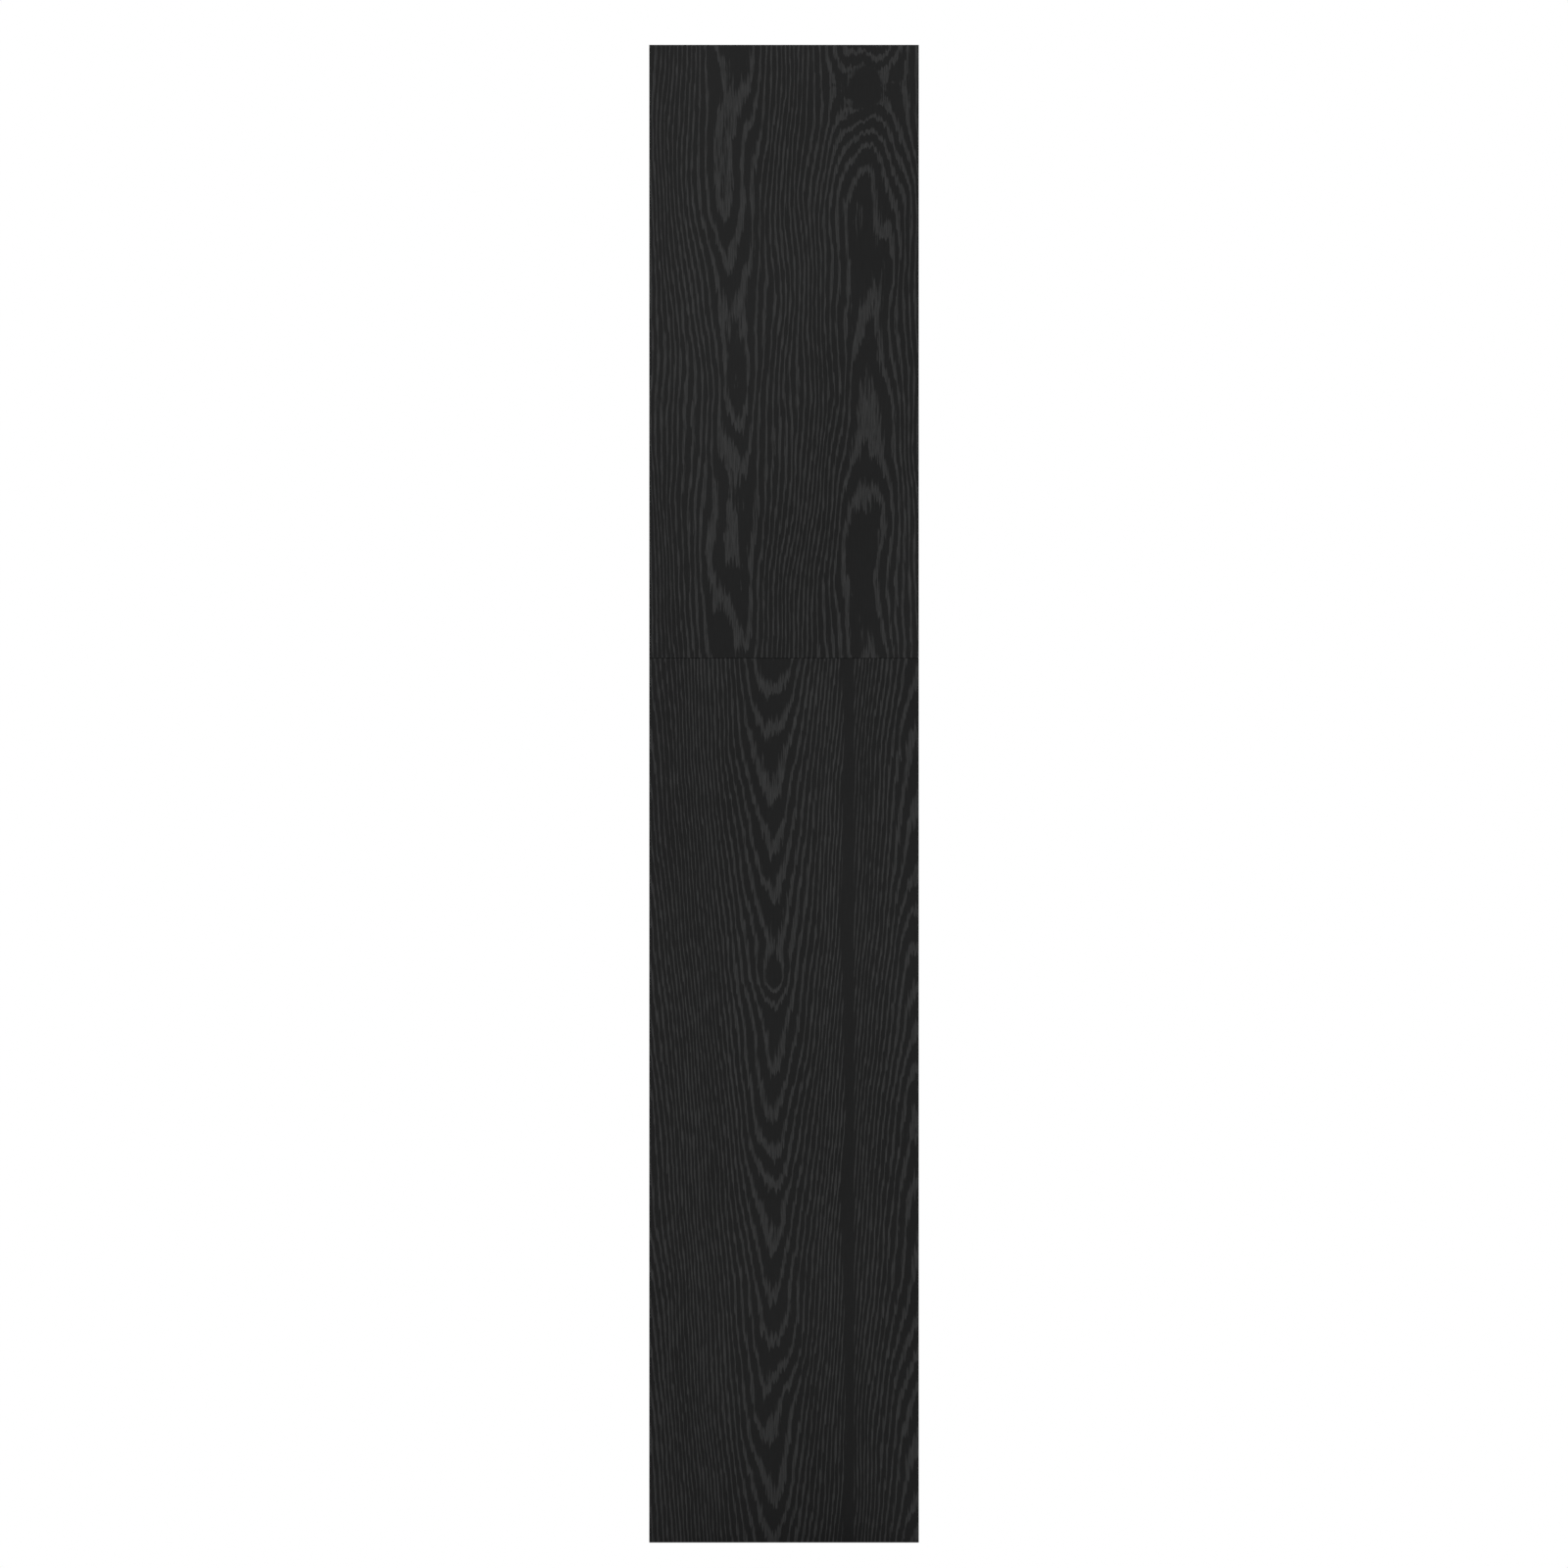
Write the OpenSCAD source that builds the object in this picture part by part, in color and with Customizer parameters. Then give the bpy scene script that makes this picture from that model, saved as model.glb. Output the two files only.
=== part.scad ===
// Longcase (grandfather) clock: a plain two-section case in black oak
// laminate with a weight-driven seconds-pendulum movement behind glass doors.
// Millimetres. +Z is up, the doors face -Y, +X is the clock's right as drawn.
// The origin is at the middle of the footprint, on the floor.

/* [Case] */
// Overall height
case_h = 1800; // [1740:10:2160]
// Overall width
case_w = 440; // [365:5:530]
// Overall depth
case_d = 324; // [270:2:400]
// Height of the lower section, up to the seam
lower_h = 1063; // [885:1:1275]
// Thickness of the case boards
board_t = 18; // [16:0.1:22]
// Thickness of the back panels
back_t = 6; // [4:1:8]
// Distance from the rear edge to the back panel
back_inset = 10; // [8:1:16]
// Depth of the groove that holds a back panel
groove_depth = 8; // [5:1:10]
// Height of the plinth space under the bottom panel
plinth_h = 82; // [60:1:110]
// Depth of the rails at the seam
rail_depth = 50; // [40:1:70]
// Chamfer on the side boards at the seam
seam_chamfer = 0.6; // [0.3:0.1:1.5]

/* [Doors] */
// Thickness of a door
door_t = 20; // [18:1:24]
// Gap around a door
door_gap = 2.5; // [2.5:0.1:4]
// Width of the stiles and top rail of a door frame
stile_w = 45; // [40:1:60]
// Width of the bottom rail of a door frame
foot_rail_w = 60; // [45:1:90]
// Thickness of the door glass
glass_t = 4; // [3:1:5]
// Depth of the glass behind the door face
glass_setback = 8; // [6:1:9]
// Width of the rebate around the glass
rebate_w = 8; // [6:1:12]
// Pivot pin distance behind the door face
pivot_setback = 7; // [6:1:8]
// Pivot pin distance from the hinge edge of the door
pivot_inset = 12; // [10:1:12]
// Pivot pin radius
pivot_r = 2.5; // [2:0.5:3]
// Radial clearance of a running fit
run_fit = 0.06; // [0.03:0.01:0.09]
// Length of the finger scoop in a door edge
scoop_len = 90; // [60:5:120]

/* [Dial and hands] */
// Distance from the door face back to the dial plate
dial_setback = 62; // [58:1:80]
// Distance from the top of the case to the centre of the dial
dial_drop = 225; // [215:1:260]
// Side of the square dial plate
dial_side = 300; // [280:2:306]
// Outer radius of the chapter ring
ring_r = 140; // [120:1:145]
// Width of the chapter ring
ring_w = 28; // [20:1:34]
// Length of the hour hand
hour_len = 82; // [60:1:95]
// Length of the minute hand
minute_len = 122; // [100:1:130]
// Length of the seconds hand
seconds_len = 19; // [14:1:21]

/* [Movement] */
// Width of the movement plates
plate_w = 120; // [116:2:150]
// Thickness of a movement plate
plate_t = 3; // [2.5:0.5:4]
// Space between the movement plates
plate_space = 57; // [57:0.1:69]
// Module of the great wheel and its pinion
great_m = 0.8; // [0.7:0.01:0.96]
// Module of the centre wheel and its pinion
centre_m = 0.7; // [0.65:0.05:0.7]
// Module of the third wheel and its pinion
third_m = 0.65; // [0.6:0.05:0.65]
// Module of the motion work under the dial
motion_m = 0.8; // [0.7:0.05:0.8]
// Radius of the escape wheel
escape_r = 19; // [17:0.5:19]
// Radius to the middle of the cable on the drum
drum_r = 20; // [17:0.5:24]

/* [Pendulum] */
// Length from the suspension to the middle of the bob
pendulum_len = 994; // [980:1:1000]
// Radius of the rod
rod_r = 4; // [3:0.5:5]
// Radius of the bob
bob_r = 85; // [70:1:95]
// Thickness of the bob
bob_t = 28; // [20:1:34]
// Swing to each side, in degrees
swing = 2.5; // [1.5:0.5:2.5]

/* [Weight] */
// Radius of the weight
weight_r = 31; // [25:1:38]
// Height of the weight
weight_h = 180; // [140:5:220]
// Distance from the dial centre down to the pulley, as drawn
pulley_drop = 395; // [300:5:450]
// Radius of the cable
cable_r = 1; // [0.8:0.1:1.2]

/* [Hidden] */

// smoothness of round parts
fine = 64;
small = 32;
// a hair used to push cutters past a face
over = 1;

// colours
oak = [0.15, 0.15, 0.15];
brass = [0.80, 0.62, 0.30];
steel = [0.70, 0.71, 0.73];
dark = [0.12, 0.12, 0.14];
white = [0.93, 0.92, 0.88];
pane = [0.75, 0.85, 0.88, 0.35];

// case planes
hx = case_w / 2;
hy = case_d / 2;
ix = hx - board_t;
back_y = hy - back_inset;
panel_y = back_y - back_t;

// doors
door_w = 2 * (ix - door_gap);
door_hx = door_w / 2;
door_back = -hy + door_t;
hood_z0 = lower_h + board_t + door_gap;
hood_z1 = case_h - board_t - door_gap;
trunk_z0 = plinth_h + board_t + door_gap;
trunk_z1 = lower_h - board_t - door_gap;
pivot_x = door_hx - pivot_inset;
pivot_y = -hy + pivot_setback;
pin_in = 12;
pin_out = 14;
bush_r = 4;
bush_flange_r = 6;
bush_play = 0.4;
bush_flange_t = door_gap - bush_play;
bush_seat = pin_out + 1;
glass_y = -hy + glass_setback;
glass_slack = 0.3;
lock_inset = 20.5;
lock_x = -door_hx + lock_inset;
lock_rise = 50;
lock_z = (trunk_z0 + trunk_z1) / 2 + lock_rise;
lock_r = 9;
plug_r = 6;
cam_len = 22;
cam_w = 9;
cam_t = 3;
cam_gap = 2;
lock_back = door_back + 6;
lock_flange = 3;
lock_flange_t = 4;
plug_sunk = 0.5;
keyway_w = 1.6;
keyway_h = 8;
keyway_d = 3.5;

// case fittings
bolt_inset = 82;
bolt_x = ix - bolt_inset;
bolt_y = door_back + 16;
bolt_rear_y = panel_y - rail_depth / 2;
bolt_r = 4;
bolt_slack = 0.3;
bolt_head_r = 8;
bolt_head_t = 4;
bolt_nut_r = 7;
bolt_nut_t = 5;
bolt_end = 8;
foot_r = 15;
foot_gap = 3;
foot_x = ix - 24;
foot_y = panel_y - board_t - foot_gap - foot_r;
foot_t = 7;
stem_r = 4;
stem_in = 12;
catch_x0 = -ix + 12;
catch_x1 = -ix + 42;
catch_y0 = door_back + 0.4;
catch_y1 = door_back + 14;
catch_h = 12;
keeper_t = 6;
keeper_h = 20;
panel_hx = ix + groove_depth - 1;
bracket_z = case_h - 45;
bracket_hx = 70;
bracket_hz = 20;
bracket_t = 2.5;
bracket_hole_x = 50;
bracket_hole_r = 3;
scoop_r = 13;
scoop_out = 4;
scoop_low = 60;

// movement stations, measured from the dial centre
dial_z = case_h - dial_drop;
n_great = 120;
n_pinion = 10;
n_centre = 80;
n_third = 75;
n_escape = 30;
n_cannon = 20;
n_minute = 60;
n_minute_pinion = 16;
n_hour = 64;
n_ratchet = 24;
ratchet_r = 16;
great_cd = great_m * (n_great + n_pinion) / 2;
centre_cd = centre_m * (n_centre + n_pinion) / 2;
third_cd = third_m * (n_third + n_pinion) / 2;
motion_cd = motion_m * (n_cannon + n_minute) / 2;
escape_rise = 50;
pallet_rise = escape_r * sqrt(2) + 0.13;
third_up = (centre_cd * centre_cd - third_cd * third_cd + escape_rise * escape_rise) / (2 * escape_rise);
third_out = sqrt(centre_cd * centre_cd - third_up * third_up);
great_z = dial_z - great_cd;
third_z = dial_z + third_up;
escape_z = dial_z + escape_rise;
axis_z = escape_z + pallet_rise;
centre_to_third = atan2(third_up, third_out);
third_to_escape = atan2(escape_rise - third_up, -third_out);

// movement planes, front to back
dial_y = -hy + dial_setback;
dial_t = 1.5;
under_dial = 20;
front_y0 = dial_y + under_dial;
front_y1 = front_y0 + plate_t;
rear_y0 = front_y1 + plate_space;
rear_y1 = rear_y0 + plate_t;
great_tip_r = great_m * (n_great / 2 + 0.8);
plate_margin = 9.36;
plate_z0 = great_z - great_tip_r - plate_margin;
plate_z1 = dial_z + 105;
end_play = 0.4;
arbor_r = 2;
pivot_small = 1.5;
drum_arbor_r = 4;
wheel_t = 2;
rim = 3.2;
spoke_w = 2.4;
hub_r = 5;
pinion_len = 8;
pinion_lead = 3;
great_hub_r = 9;
great_hub_front = 0.6;
great_hub_back = 5;
ratchet_t = 1.8;
ratchet_tooth = 2.5;
flange_t = 2;
square_w = 5.2;
pillar_r = 5;
pillar_inset = 10;
pillar_x = plate_w / 2 - pillar_inset;
pillar_z = [plate_z0 + 12, plate_z1 - 12];
pillar_nut_r = 4;
pillar_nut_t = 4;
foot_pillar_r = 3;
foot_pillar_x = plate_w / 2 - 7;
foot_pillar_z = [plate_z0 + 10, dial_z + 62];
bracket_foot_x = 35;
bracket_foot_w = 14;
bracket_foot_h = 8;
seat_y0 = front_y0 - 12;
seat_y1 = rear_y1 + 9;
seat_z1 = plate_z0;
seat_z0 = seat_z1 - board_t;
cheek_h = 150;

// gear planes
great_y0 = rear_y0 - 12;
centre_y0 = front_y1 + 7;
third_y0 = front_y1 + 27;
escape_y0 = rear_y0 - 16.5;
anchor_y0 = rear_y0 - 18;
anchor_y1 = rear_y0 - 12;
drum_y0 = front_y1 + 11;
drum_y1 = great_y0 - 3;
cannon_y0 = dial_y + 12;
hour_y0 = dial_y + 6;

// dial planes, front to back
arbor_front = dial_y - 12;
cannon_front = dial_y - 10;
minute_y = dial_y - 9;
hour_pipe_front = dial_y - 6.5;
hour_hand_y = dial_y - 5.5;
seconds_front = dial_y - 3;
seconds_y = dial_y - 2.2;
winding_front = dial_y - 2.5;
ring_t = 1.2;
marker_t = 0.8;
marker_w = 4;
marker_in = 3;
marker_out = 9;
seconds_ring_out = 5;
seconds_ring_in = 2.5;
winding_hole_r = 7;
seconds_hole_r = 3;
cannon_r = 2.6;
cannon_t = 5;
snail_t = 1.5;
pipe_r = 4;
pipe_back = 4.5;
light_at = 14.5;
hour_light_r = 6;
minute_light_r = 5;
minute_pinion_len = 7;
hand_boss = 0.5;
tip_w = 1;

// pendulum
pend_y = rear_y1 + 37;
bob_z = axis_z - pendulum_len;
spring_len = 26;
spring_t = 0.3;
spring_w = 10;
rod_z1 = axis_z - spring_len;
rod_below = 42;
rod_z0 = bob_z - bob_r - rod_below;
ferrule_r = 5.5;
nut_r = 13;
nut_h = 9;
nut_neck_r = 6.5;
nut_neck_h = 2.6;
nut_z1 = bob_z - bob_r - 3;
cock_gap = 0.4;
cock_t = 4;
cock_hw = 6;

// weight
weight_y = (drum_y0 + drum_y1) / 2;
pulley_z = dial_z - pulley_drop;
weight_hang = 45;
weight_z1 = pulley_z - weight_hang;
cap_t = 4;
cap_in = 4;
hook_r = 4;
stirrup_foot = 35;
stirrup_w = 16;
stirrup_t = 2;
stirrup_in = 5.5;
stirrup_top = 8;
stirrup_base = 7;
pulley_hw = 4;
weight_z0 = weight_z1 - weight_h;
groove_r = drum_r - cable_r - 0.4;
flange_r = drum_r + 2;
cable_hole_r = 6;

// strike
hammer_x = -plate_w / 2 + 12;
hammer_z = plate_z0 + 30;
gong_x = 10;
gong_z = dial_z - 230;
gong_r = 62;
gong_inner = 28;
gong_y0 = panel_y - 34;
gong_wire = 3;
block_x = gong_x - gong_inner - 6;
block_w = 20;
block_h = 24;
gong_rest = 2.5;
collet_r = 4;
arm_thin = 2.5;
tail_w = 3;
head_r = 7;
head_front = 6;
head_back = 9;
lift_r = 12;
lift_rim = 2.5;
tail_clear = 0.8;

// ---------- helpers ----------
// a box given by its six planes
module slab(x0, x1, y0, y1, z0, z1) {
    translate([x0, y0, z0])
        cube([x1 - x0, y1 - y0, z1 - z0]);
}

// a round bar along Y
module ybar(x, z, y0, y1, r, n = small) {
    translate([x, y1, z])
        rotate([90, 0, 0])
            cylinder(h = y1 - y0, r = r, $fn = n);
}

// a round bar along Z
module zbar(x, y, z0, z1, r, n = small) {
    translate([x, y, z0])
        cylinder(h = z1 - z0, r = r, $fn = n);
}

// a flat outline in X and Z, extruded along Y
module ysheet(x, z, y0, y1) {
    translate([x, y1, z])
        rotate([90, 0, 0])
            linear_extrude(height = y1 - y0)
                children();
}

// outline of a toothed wheel: root and tip widths are shares of the tooth pitch
function tooth(n, m, a, root_w, tip_w, ded, add) =
    let (r = n * m / 2, p = 360 / n, ri = r - ded * m, ro = r + add * m)
    [[ri * cos(a - root_w * p / 2), ri * sin(a - root_w * p / 2)],
     [ro * cos(a - tip_w * p / 2), ro * sin(a - tip_w * p / 2)],
     [ro * cos(a + tip_w * p / 2), ro * sin(a + tip_w * p / 2)],
     [ri * cos(a + root_w * p / 2), ri * sin(a + root_w * p / 2)]];

function wheel_outline(n, m, phase) =
    [for (i = [0 : n - 1]) for (q = tooth(n, m, phase + i * 360 / n, 0.56, 0.16, 1.2, 0.8)) q];

function pinion_outline(n, m, phase) =
    [for (i = [0 : n - 1]) for (q = tooth(n, m, phase + i * 360 / n, 0.36, 0.20, 1.35, 0.5)) q];

// one window between two spokes, as arcs of the rim and the hub joined by the spokes' sides
arc_steps = 8;
function arc_point(r, a) = [r * cos(a), r * sin(a)];
function half_gap(r) = asin(spoke_w / 2 / r);
function window(r_out, r_in, a0, a1) = concat(
    [for (i = [0 : arc_steps])
        arc_point(r_out, a0 + half_gap(r_out) + (a1 - a0 - 2 * half_gap(r_out)) * i / arc_steps)],
    [for (i = [0 : arc_steps])
        arc_point(r_in, a1 - half_gap(r_in) - (a1 - a0 - 2 * half_gap(r_in)) * i / arc_steps)]);

// a crossed-out wheel: its teeth are an outline, and windows leave the rim, spokes and hub
module crossed_wheel(x, z, y0, outline, root_r, spokes = 5) {
    difference() {
        ysheet(x, z, y0, y0 + wheel_t)
            polygon(outline);
        for (i = [0 : spokes - 1])
            ysheet(x, z, y0 - over, y0 + wheel_t + over)
                polygon(window(root_r - rim, hub_r, i * 360 / spokes, (i + 1) * 360 / spokes));
    }
}

function wheel_root(n, m) = n * m / 2 - 1.2 * m;

// an arbor between the plates, turned down to a pivot at each end
module arbor(x, z, y_front = front_y0 - 0.3, y_rear = rear_y1 + 0.3) {
    translate([x, 0, z])
        rotate([90, 0, 0])
            rotate_extrude($fn = small)
                polygon([[0, -y_rear], [pivot_small, -y_rear], [pivot_small, end_play - rear_y0],
                    [arbor_r, end_play - rear_y0], [arbor_r, -front_y1 - end_play],
                    [pivot_small, -front_y1 - end_play], [pivot_small, -y_front], [0, -y_front]]);
}

// pivot hole through a plate
module pivot_hole(x, z, y0, y1, r) {
    ybar(x, z, y0 - over, y1 + over, r + run_fit);
}

// side board with a back-panel groove and one chamfered seam edge
module side_board(s, z0, z1, seam_at_top) {
    zc = seam_at_top ? z1 : z0;
    dirz = seam_at_top ? -1 : 1;
    difference() {
        slab(min(s * ix, s * hx), max(s * ix, s * hx), -hy, hy, z0, z1);
        slab(min(s * ix, s * (ix + groove_depth)) - (s > 0 ? over : 0),
             max(s * ix, s * (ix + groove_depth)) + (s > 0 ? 0 : over),
             panel_y, back_y, z0 - over, seam_at_top ? z1 + over : z1 - board_t);
        translate([s * hx, -hy - over, zc])
            rotate([0, 45, 0])
                translate([-seam_chamfer / sqrt(2), 0, -seam_chamfer / sqrt(2)])
                    cube([seam_chamfer * sqrt(2), case_d + 2 * over, seam_chamfer * sqrt(2)]);
    }
}

// a framed door, with its window, glass rebate, pivot holes and finger scoop
module door_frame(z0, z1) {
    wx = door_hx - stile_w;
    wz0 = z0 + foot_rail_w;
    wz1 = z1 - stile_w;
    zm = (z0 + z1) / 2 - scoop_low;
    difference() {
        slab(-door_hx, door_hx, -hy, door_back, z0, z1);
        slab(-wx, wx, -hy - over, door_back + over, wz0, wz1);
        slab(-wx - rebate_w, wx + rebate_w, glass_y, door_back + over, wz0 - rebate_w, wz1 + rebate_w);
        zbar(pivot_x, pivot_y, z0 - over, z0 + pin_in, pivot_r);
        zbar(pivot_x, pivot_y, z1 - pin_in, z1 + over, pivot_r);
        zbar(-door_hx - scoop_out, -hy, zm, zm + scoop_len, scoop_r);
    }
}

module door_glass(z0, z1) {
    wx = door_hx - stile_w + rebate_w - glass_slack;
    slab(-wx, wx, glass_y, glass_y + glass_t,
         z0 + foot_rail_w - rebate_w + glass_slack, z1 - stile_w + rebate_w - glass_slack);
}

module door_beads(z0, z1) {
    wx = door_hx - stile_w;
    wz0 = z0 + foot_rail_w;
    wz1 = z1 - stile_w;
    difference() {
        slab(-wx - rebate_w, wx + rebate_w, glass_y + glass_t, door_back, wz0 - rebate_w, wz1 + rebate_w);
        slab(-wx, wx, glass_y, door_back + over, wz0, wz1);
    }
}

module door_pins(z0, z1) {
    zbar(pivot_x, pivot_y, z0 - door_gap - pin_out, z0 + pin_in, pivot_r);
    zbar(pivot_x, pivot_y, z1 - pin_in, z1 + door_gap + pin_out, pivot_r);
}

// pivot bush: z is the face it sits on, up is +1 when the door is above it
module bush(z, up) {
    seat_z = z - up * bush_seat;
    flange_z = z + up * bush_flange_t;
    difference() {
        union() {
            zbar(pivot_x, pivot_y, min(z, seat_z), max(z, seat_z), bush_r);
            zbar(pivot_x, pivot_y, min(z, flange_z), max(z, flange_z), bush_flange_r);
        }
        zbar(pivot_x, pivot_y, z - 2 * bush_seat, z + 2 * bush_seat, pivot_r + run_fit);
    }
}

module bush_hole(z0, z1) {
    zbar(pivot_x, pivot_y, z0, z1, bush_r);
}

// ---------- case ----------
module lower_side_left() {
    color(oak)
        side_board(-1, 0, lower_h, true);
}

module lower_side_right() {
    color(oak)
        side_board(1, 0, lower_h, true);
}

module upper_side_left() {
    color(oak)
        side_board(-1, lower_h, case_h, false);
}

module upper_side_right() {
    color(oak)
        side_board(1, lower_h, case_h, false);
}

module top_panel() {
    color(oak)
        difference() {
            slab(-ix, ix, -hy, hy, case_h - board_t, case_h);
            bush_hole(case_h - board_t - over, case_h - board_t + bush_seat);
        }
}

module bottom_panel() {
    color(oak)
        difference() {
            slab(-ix, ix, -hy, panel_y, plinth_h, plinth_h + board_t);
            bush_hole(plinth_h + board_t - bush_seat, plinth_h + board_t + over);
            for (sx = [-1, 1])
                for (sy = [-1, 1])
                    zbar(sx * foot_x, sy * foot_y, plinth_h - over, plinth_h + stem_in + over,
                         stem_r + run_fit);
        }
}

module plinth_boards() {
    color(oak) {
        slab(-ix, ix, -hy, -hy + board_t, 0, plinth_h);
        slab(-ix, ix, panel_y - board_t, panel_y, 0, plinth_h);
    }
}

module bolt_hole(x, y) {
    zbar(x, y, lower_h - 2 * board_t, lower_h + 2 * board_t, bolt_r + bolt_slack);
}

module front_rails() {
    color(oak)
        difference() {
            union() {
                slab(-ix, ix, -hy, -hy + rail_depth, lower_h - board_t, lower_h);
                slab(-ix, ix, -hy, -hy + rail_depth, lower_h, lower_h + board_t);
            }
            bush_hole(lower_h + board_t - bush_seat, lower_h + board_t + over);
            bush_hole(lower_h - board_t - over, lower_h - board_t + bush_seat);
            for (s = [-1, 1])
                bolt_hole(s * bolt_x, bolt_y);
        }
}

module rear_rails() {
    color(oak)
        difference() {
            union() {
                slab(-ix, ix, panel_y - rail_depth, panel_y, lower_h - board_t, lower_h);
                slab(-ix, ix, panel_y - rail_depth, panel_y, lower_h, lower_h + board_t);
            }
            for (s = [-1, 1])
                bolt_hole(s * bolt_x, bolt_rear_y);
        }
}

module lower_back() {
    color(dark)
        slab(-panel_hx, panel_hx, panel_y, back_y, 0, lower_h - 1);
}

module upper_back() {
    color(dark)
        difference() {
            slab(-panel_hx, panel_hx, panel_y, back_y, lower_h + 1, case_h - board_t);
            for (s = [-1, 1])
                ybar(s * bracket_hole_x, bracket_z, panel_y - over, back_y + over, bracket_hole_r);
        }
}

module one_bolt(x, y) {
    zbar(x, y, lower_h - board_t - bolt_head_t / 2, lower_h + board_t + bolt_end, bolt_r);
    zbar(x, y, lower_h - board_t - bolt_head_t, lower_h - board_t, bolt_head_r);
    zbar(x, y, lower_h + board_t, lower_h + board_t + bolt_nut_t, bolt_nut_r, 6);
}

module joining_bolts() {
    color(steel)
        for (s = [-1, 1]) {
            one_bolt(s * bolt_x, bolt_y);
            one_bolt(s * bolt_x, bolt_rear_y);
        }
}

module hinge_bushes() {
    color(brass) {
        bush(case_h - board_t, -1);
        bush(lower_h + board_t, 1);
        bush(lower_h - board_t, -1);
        bush(plinth_h + board_t, 1);
    }
}

module magnet_catches() {
    color(dark) {
        slab(catch_x0, catch_x1, catch_y0, catch_y1, lower_h + board_t, lower_h + board_t + catch_h);
        slab(catch_x0, catch_x1, catch_y0, catch_y1, lower_h - board_t - catch_h, lower_h - board_t);
    }
}

module lock_keeper() {
    color(steel)
        slab(-ix, -ix + keeper_t, door_back + 1, lock_back + cam_gap - 0.4,
             lock_z - keeper_h / 2, lock_z + keeper_h / 2);
}

module levelling_feet() {
    color(dark)
        for (sx = [-1, 1])
            for (sy = [-1, 1]) {
                zbar(sx * foot_x, sy * foot_y, 0, foot_t, foot_r);
                zbar(sx * foot_x, sy * foot_y, foot_t - over, plinth_h + stem_in, stem_r);
            }
}

module wall_bracket() {
    color(steel) {
        difference() {
            slab(-bracket_hx, bracket_hx, back_y, back_y + bracket_t,
                 bracket_z - bracket_hz, bracket_z + bracket_hz);
            for (s = [-1, 1])
                ybar(s * bracket_hole_x, bracket_z, back_y - over, back_y + bracket_t + over, bracket_hole_r);
        }
        for (s = [-1, 1])
            slab(-bracket_hx, bracket_hx, back_y, hy,
                 bracket_z + s * (bracket_hz - bracket_t / 2) - bracket_t / 2,
                 bracket_z + s * (bracket_hz - bracket_t / 2) + bracket_t / 2);
    }
}

module seat_cheeks() {
    color(oak) {
        slab(-ix, -ix + board_t, seat_y0, seat_y1, seat_z0 - cheek_h, seat_z0);
        slab(ix - board_t, ix, seat_y0, seat_y1, seat_z0 - cheek_h, seat_z0);
    }
}

module seatboard() {
    color(oak)
        difference() {
            slab(-ix, ix, seat_y0, seat_y1, seat_z0, seat_z1);
            zbar(-drum_r, weight_y, seat_z0 - over, seat_z1 + over, cable_hole_r);
        }
}

// ---------- doors ----------
module hood_door_frame() {
    color(oak)
        door_frame(hood_z0, hood_z1);
}

module hood_glass() {
    color(pane)
        door_glass(hood_z0, hood_z1);
}

module hood_glass_beads() {
    color(oak)
        door_beads(hood_z0, hood_z1);
}

module hood_door_pins() {
    color(steel)
        door_pins(hood_z0, hood_z1);
}

module trunk_door_frame() {
    color(oak)
        difference() {
            door_frame(trunk_z0, trunk_z1);
            ybar(lock_x, lock_z, -hy - over, door_back + over, lock_r);
        }
}

module trunk_glass() {
    color(pane)
        door_glass(trunk_z0, trunk_z1);
}

module trunk_glass_beads() {
    color(oak)
        door_beads(trunk_z0, trunk_z1);
}

module trunk_door_pins() {
    color(steel)
        door_pins(trunk_z0, trunk_z1);
}

module trunk_lock_body() {
    color(steel)
        difference() {
            union() {
                ybar(lock_x, lock_z, -hy, lock_back, lock_r);
                ybar(lock_x, lock_z, door_back, door_back + lock_flange_t, lock_r + lock_flange, 6);
            }
            ybar(lock_x, lock_z, -hy - over, lock_back + over, plug_r + run_fit);
        }
}

module trunk_lock_plug() {
    color(brass)
        difference() {
            union() {
                ybar(lock_x, lock_z, -hy + plug_sunk, lock_back + cam_gap + cam_t, plug_r);
                slab(lock_x - cam_w / 2, lock_x + cam_w / 2, lock_back + cam_gap, lock_back + cam_gap + cam_t,
                     lock_z - cam_len, lock_z);
            }
            slab(lock_x - keyway_w / 2, lock_x + keyway_w / 2, -hy, -hy + plug_sunk + keyway_d,
                 lock_z - keyway_h / 2, lock_z + keyway_h / 2);
        }
}

// ---------- movement, fixed ----------
module front_plate() {
    color(brass)
        difference() {
            slab(-plate_w / 2, plate_w / 2, front_y0, front_y1, plate_z0, plate_z1);
            pivot_hole(0, dial_z, front_y0, front_y1, pivot_small);
            pivot_hole(third_out, third_z, front_y0, front_y1, pivot_small);
            pivot_hole(0, escape_z, front_y0, front_y1, pivot_small);
            pivot_hole(0, axis_z, front_y0, front_y1, pivot_small);
            pivot_hole(0, great_z, front_y0, front_y1, drum_arbor_r);
            pivot_hole(hammer_x, hammer_z, front_y0, front_y1, arbor_r);
        }
    color(steel)
        ybar(motion_cd, dial_z, dial_y + 3, front_y0, arbor_r);
}

module back_plate() {
    color(brass)
        difference() {
            slab(-plate_w / 2, plate_w / 2, rear_y0, rear_y1, plate_z0, plate_z1);
            pivot_hole(0, dial_z, rear_y0, rear_y1, pivot_small);
            pivot_hole(third_out, third_z, rear_y0, rear_y1, pivot_small);
            pivot_hole(0, escape_z, rear_y0, rear_y1, pivot_small);
            pivot_hole(0, axis_z, rear_y0, rear_y1, pivot_small);
            pivot_hole(0, great_z, rear_y0, rear_y1, drum_arbor_r);
            pivot_hole(hammer_x, hammer_z, rear_y0, rear_y1, arbor_r);
        }
}

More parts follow.
